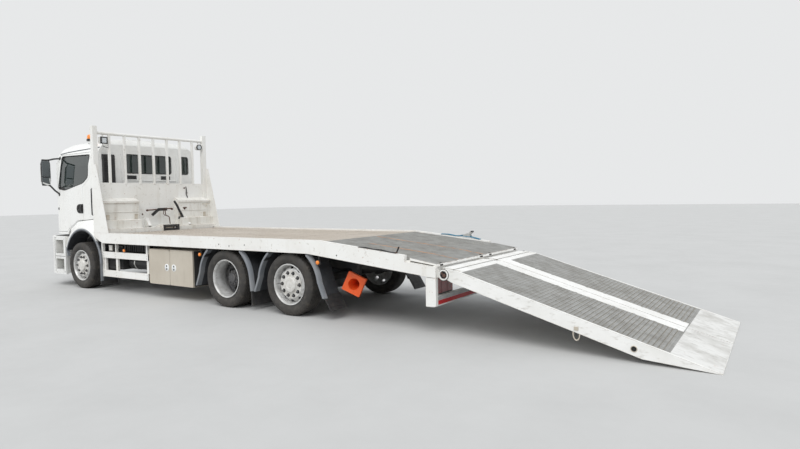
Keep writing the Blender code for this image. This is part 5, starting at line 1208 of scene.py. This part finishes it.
def locker_fittings():
    """Chocks' brackets, seams, a handle and hinges on the lockers."""
    kit = Kit()
    for low, high, front in ((0.165, 0.255, 4.918), (-0.68, -0.6, 4.789)):
        for y in (low, high - 0.01):
            kit.prism([(front, 1.345), (front, 1.162), (front - 0.11, 1.162), (front - 0.104, 1.185)],
                      (y, y + 0.01))
        kit.prism([(front, 1.348), (front - 0.01, 1.348), (front - 0.112, 1.186), (front - 0.098, 1.184)],
                  (low + 0.012, high - 0.012))
    for z in (1.33, 1.48):
        for y0, y1 in ((0.46, 1.18), (-1.18, -0.42)):
            kit.box((LOCKER_FACE - 0.006, LOCKER_FACE + 0.01), (y0, y1), about(z, 0.004))
    for y in (-1.06, -1.21):
        kit(1).pipe(off_locker((-0.004, y, 1.605), (-0.034, y, 1.605)), 0.008)
    kit.pipe(off_locker((-0.034, -1.055, 1.605), (-0.034, -1.215, 1.605)), 0.008)
    kit.pipe(off_locker((-0.034, -1.13, 1.605), (-0.04, -1.13, 1.57), (-0.03, -1.13, 1.545),
                        (-0.012, -1.13, 1.56)), 0.007)
    for y in (0.52, 1.1, -0.5, -1.1):
        kit.box((LOCKER_FACE - 0.008, LOCKER_FACE + 0.002), about(y, 0.03), (1.34, 1.42))
        kit.pipe(off_locker((-0.01, y - 0.03, 1.428), (-0.01, y + 0.03, 1.428)), 0.007)
    kit.done("locker_fittings", ("bed", "steel"), "chassis", "bed_paint", 0.0015)


def deck_parts():
    """Plank seams and screws on the timber floor."""
    kit = Kit()
    flush = (1.0792, 1.0804)
    # near-black lines between and across the planks: painted shade in the gaps
    for y in spread(-1.05, 1.05, 15):
        kit.box((-0.6, 4.575), about(y, 0.003), flush)
    for x, first in ((0.35, 0), (1.95, 1), (3.4, 1)):
        for y in spread(-1.12, 1.12, 16)[first::2]:
            kit.box(about(x, 0.002), about(y, 0.07), flush)
    for x in spread(-0.5, 4.5, 11):
        for y in spread(-1.12, 1.12, 16):
            for step in (-0.035, 0.035):
                kit(1).turned([(0, 0.0011), (0.0075, 0.0009), (0.0085, 0), (0, 0)], (x, y + step, 1.08), 8,
                              False, "Z")
    kit.done("deck_seams", ("painted_shade_in_holes_and_gaps", "rust_steel"), "chassis", "deck_wood")


FALL = 0.795 / 2.706
END_PLATE = -2.0705


def floor_z(x):
    """Height of the tail's ribbed floor, that runs over the end plate too."""
    return 1.08 - 0.105 * (-0.606 - x) if x > END_PLATE else 0.927 - 0.153 * (END_PLATE - x)


def ramp_z(x):
    """Height of a lowered ramp's top at station x."""
    return 0.795 - FALL * (-2.744 - x)


def ribbon(kit, surface, x0, x1, under, over, ys):
    """A straight piece of a sloping surface, from under it to over it."""
    return kit.prism([(x0, surface(x0) - under), (x1, surface(x1) - under), (x1, surface(x1) + over),
                      (x0, surface(x0) + over)], ys)


def ribs(kit, surface, xs, half, under, over, ys):
    """Toothed ribs across a sloping surface."""
    for x in xs:
        z = surface(x)
        kit.prism([(x - half, z - under), (x + half, z - under), (x + 0.0015, z + over),
                   (x - 0.0015, z + over)], ys)


def slope_parts():
    """Toothed ribs, bearer lines and rust lines on the sloping tail, slots and a lip on its end plate."""
    kit = Kit()
    ribs(kit, floor_z, spread(-0.632, -2.432, 76), 0.005, 0.003, 0.004, (-1.208, 1.208))
    kit.prism([(-2.0708, 0.9268), (-2.0708, 0.9225), (-2.4488, 0.8649), (-2.4488, 0.869)], (-1.243, 1.243))
    for y in spread(-1.17, 1.17, 27):
        ribbon(kit(1), floor_z, -0.615, -2.062, 0.001, 0.0015, about(y, 0.002))
    for y, first in ((0.7, -1.05), (-0.035, -0.66)):
        stops = spread(first, -2.44, 30)
        for n, (x0, x1) in enumerate(zip(stops, stops[1:])):
            middle = y + 0.006 * sin(n * 1.7)
            ribbon(kit(2), floor_z, x0, x1 - 0.006, -0.001, 0.0048,
                   (middle - 0.01, middle + 0.01 * (0.5 + 0.5 * sin(n * 2.3) ** 2)))
    kit.done("slope_grating", ("zinc", "steel", "rust_line"), "chassis", "galvanised")

    kit = Kit()
    # near-black slots in the end plate: painted shade inside them
    for y, long in ((1.143, 0.036), (0.035, 0.04), (-0.255, 0.036), (-1.143, 0.036)):
        kit(0).boxes(((-2.4625, -2.4495), (y - long, y + long), (0.838, 0.856)),
                     ((-2.45, -2.425), (y - long * 0.6, y + long * 0.6), (0.862, 0.8735)))
    for ys in ((1.18, 1.212), (-1.18, -1.212)):
        for x in (-0.72, -1.45):
            ribbon(kit(1), floor_z, x, x - 0.1, 0.002, 0.003, ys)
    kit(2).prism([(-2.4505, 0.866), (-2.4505, 0.838), (-2.4605, 0.832), (-2.461, 0.844)], (-1.24, 1.24))
    kit.done("end_plate_fittings", ("painted_shade_in_holes_and_gaps", "steel", "ramp"), "chassis", "galvanised", 0.0015)


def ramp_parts(word, side):
    """A ramp's hinge ring and cover, treads, toe plate and lashing loop."""
    ramp = f"ramp_{word}"
    spot = (-2.558, 1.2752, 0.746)
    kit = Kit(side).turned([(0.064, 0.001), (0.064, 0.01), (0.06, 0.014), (0.05, 0.014), (0.046, 0.008),
                            (0.044, -0.004)], spot, 48)
    # near-black inner disc: painted shade inside the ring; thin near-black band round its outside: painted
    # shadow in the gap between ring and side plate
    kit(1).turned([(0.0465, 0.003), (0, 0.0012)], spot, 40)
    kit.turned([(0.07, 0.0002), (0.07, 0.002), (0.064, 0.002), (0.064, 0.0002)], spot, 48, True)
    kit(2).turned([(0.023, 0.001), (0.023, 0.007), (0.018, 0.01), (0, 0.01)], (-2.566, 1.2752, 0.74))
    kit.box((-2.548, -2.528), (1.276, 1.284), (0.752, 0.778))
    kit.done(f"hinge_ring_{word}", ("ramp", "painted_shade_in_holes_and_gaps", "rust_steel"), ramp, "bed_paint")

    kit = Kit(side).prism([(-2.491, 0.8175), (-2.491, 0.81), (-2.52, 0.8128), (-2.558, 0.8143),
                           (-2.64, 0.8056),
                           (-2.642, 0.8095), (-2.56, 0.8182)], (0.062, 1.189))
    # near-black slots along the cover's lower edge: painted shade inside them
    for y in spread(0.022, 1.225, 40):
        kit(1).box((-2.656, -2.646), about(y, 0.008), (0.799, 0.8056))
    kit.box((-2.653, -2.648), (0.02, 1.228), (0.799, 0.8046))
    kit.done(f"hinge_cover_{word}", ("ramp", "painted_shade_in_holes_and_gaps"), ramp, "bed_paint", 0.0015)

    kit = Kit(side)
    ribs(kit, ramp_z, spread(-2.8, -4.975, 91), 0.0045, 0.006, 0.0035, (0.246, 1.225))
    for y in spread(0.262, 1.212, 20):
        ribbon(kit(1), ramp_z, -2.785, -4.982, 0.004, 0.0005, about(y, 0.0025))
    kit.done(f"ramp_tread_{word}", ("zinc", "steel"), ramp, "galvanised")

    top = [(x, 0.1375 - 0.2766 * (-4.99 - x)) for x in (-4.999, -5.2, -5.446)]
    kit = Kit(side).prism(top + [(x, z - 0.006) for x, z in top[::-1]], (0.016, 1.264))
    ribbon(kit(1), ramp_z, -4.99, -5, 0.003, 0.0046, (0.016, 1.262))
    for x in spread(-2.9, -4.9, 9):
        ribbon(kit, ramp_z, x, x - 0.03, 0.002, 0.0016, (0.224, 0.238))
    kit(2).turned([(0.034, 0.002), (0.034, -0.01), (0.026, -0.01), (0.026, 0.004), (0.03, 0.005)],
                  (-4.681, 1.2755, 0.142), 32, True)
    # near-black disc inside the ring: painted shade of its hole
    kit(3).turned([(0.0262, 0.001), (0.02, 0.0008), (0, 0.0008)], (-4.681, 1.2755, 0.142), 28)
    kit(2).pipe([(-4.115 + 0.034 * cos(a), 1.262 + 0.004 * cos(2 * a), 0.222 + 0.066 * sin(a))
                 for a in spread(pi * 0.5, pi * 2.45, 22)], 0.0075)
    kit.box((-4.138, -4.092), (1.2755, 1.281), (0.262, 0.3))
    kit.done(f"ramp_toe_and_loop_{word}", ("toe", "zinc", "steel", "painted_shade_in_holes_and_gaps"), ramp, "galvanised", 0.001)


def tail_lamp(word, side):
    """A tail lamp with its ribs, and the seams and plugs of the rail beside it."""
    kit = Kit(side).box((-2.408, -2.4), (0.775, 1.205), (0.482, 0.692))
    for y in ((0.79, 0.928), (0.938, 1.068), (1.078, 1.195)):
        kit(1).box((-2.416, -2.4085), y, (0.496, 0.68))
    for y in spread(0.8, 1.185, 24):
        kit(0).box((-2.4168, -2.416), about(y, 0.0012), (0.498, 0.678))
    kit.done(f"tail_lamp_{word}", ("black", "red_lens"), "chassis", "orange_plastic", 0.002)
    kit = Kit(side).box((-2.4495, -2.4475), (1.225, 1.272), (0.37, 0.825))
    # the rail's plugs are drawn in the near-black painted shade of holes
    for x, z in ((1.423, 0.99), (1.186, 0.971), (0.845, 0.996), (-0.935, 0.911)):
        kit(1).turned([(0.01, 0.0012), (0.006, 0.0008), (0, 0.0008)], (x, 1.2752, z), 18)
    kit(2).box((0.347, 0.351), (1.2752, 1.2758), (0.915, 1.095))
    kit.done(f"rail_seams_{word}", ("bed", "painted_shade_in_holes_and_gaps", "locker"), "chassis", "bed_paint")


def tail_parts():
    """Tapes and a bare plate on the underrun guard, and a dark sleeve over the hook the cones hang on."""
    kit = Kit()
    for look, x, z in ((0, -2.4475, (0.372, 0.4225)), (1, -2.4478, (0.358, 0.3705)),
                       (2, -2.4475, (0.4245, 0.473))):
        kit(look).box((x, -2.442), (-1.235, 1.235), z)
    kit.done("underrun_tapes", ("tape_red", "tape_white", "tape_silver"), "chassis", "white_paint")
    kit = Kit().box((-2.45, -2.448), (-0.26, 0.26), (0.56, 0.67))
    kit(1).boxes(((-2.4479, -2.43), (-0.268, 0.268), (0.552, 0.678)),
                 *(((-2.445, -2.42), about(y, 0.016), (0.6, 0.64)) for y in (-0.3, 0.3)))
    kit.done("rear_plate_bare", ("tape_white", "black"), "chassis", "white_paint", 0.001)
    x = (-0.91, -0.867)
    Kit().boxes((x, (0.7305, 0.745), (0.698, 0.742)), (x, (0.43, 0.7305), (0.698, 0.742)),
                (x, (0.697, 0.733), (0.56, 0.698))).done("cone_hanger_sleeve", "chassis", "chassis",
                                                         "chassis_paint")


def lashing():
    """The strap left on each rail: a dark one on the left, a blue one with its ratchet on the right."""
    def over(*rows):
        return [(x, y, 1.1045 - 0.105 * (-0.606 - x) + up) for x, y, up in rows]

    kit = Kit().strap(over((-1.29, 1.252, 0), (-1.38, 1.246, 0.01), (-1.5, 1.24, 0.002), (-1.62, 1.236,
                                                                                          0.012),
                           (-1.76, 1.24, 0.002), (-1.87, 1.243, 0.006)), 0.046, 0.008)
    kit.strap(over((-1.868, 1.232, 0.008), (-1.892, 1.24, 0.04621), (-1.912, 1.244, 0.08821)), 0.026, 0.005,
              (0.2, 1, 0))
    kit.strap(over((-1.56, 1.25, 0.002), (-1.7, 1.228, 0.003), (-1.85, 1.252, 0.004)), 0.022, 0.003)
    kit(1).pipe(over((-1.868, 1.222, 0.008), (-1.868, 1.262, 0.008)), 0.009, 14)
    kit.done("rail_strap_left", ("strap_black", "rust_steel"), "chassis", "seat_cloth")
    kit = Kit().strap(over((-1.13, -1.238, 0.001), (-1.25, -1.246, 0.012), (-1.39, -1.243, 0.004),
                           (-1.5, -1.247, 0.018), (-1.64, -1.243, 0.02), (-1.74, -1.245, 0.014),
                           (-1.835, -1.24, 0.001)), 0.058, 0.012)
    kit.strap(over((-1.44, -1.262, 0.01), (-1.53, -1.25, 0.038), (-1.62, -1.252, 0.032), (-1.69, -1.258,
                                                                                          0.02)),
              0.044, 0.007)
    for y in (-1.268, -1.222):
        for near, far, rows in (
                (-0.003, 0.003, ((-1.53, 0.016), (-1.66, 0.016), (-1.672, 0.046), (-1.61, 0.07),
                                 (-1.54, 0.04))),
                (-0.0085, -0.0035, ((-1.582, 0.026), (-1.622, 0.026), (-1.708, 0.104), (-1.676, 0.12)))):
            kit(1).prism([(x, z) for x, _, z in over(*((x, 0, up) for x, up in rows))], (y + near, y + far))
    kit.pipe(over((-1.602, -1.272, 0.04), (-1.602, -1.218, 0.04)), 0.013, 16)
    kit(2).pipe(over((-1.692, -1.278, 0.11), (-1.692, -1.214, 0.11)), 0.012, 16)
    kit.done("rail_strap_right", ("strap_blue", "bright", "black"), "chassis", "seat_cloth")


for build in (work_lamps, panel_cables, winch, locker_fittings, deck_parts, slope_parts, tail_parts, lashing):
    build()
for sided in SIDES:
    ramp_parts(*sided)
    tail_lamp(*sided)
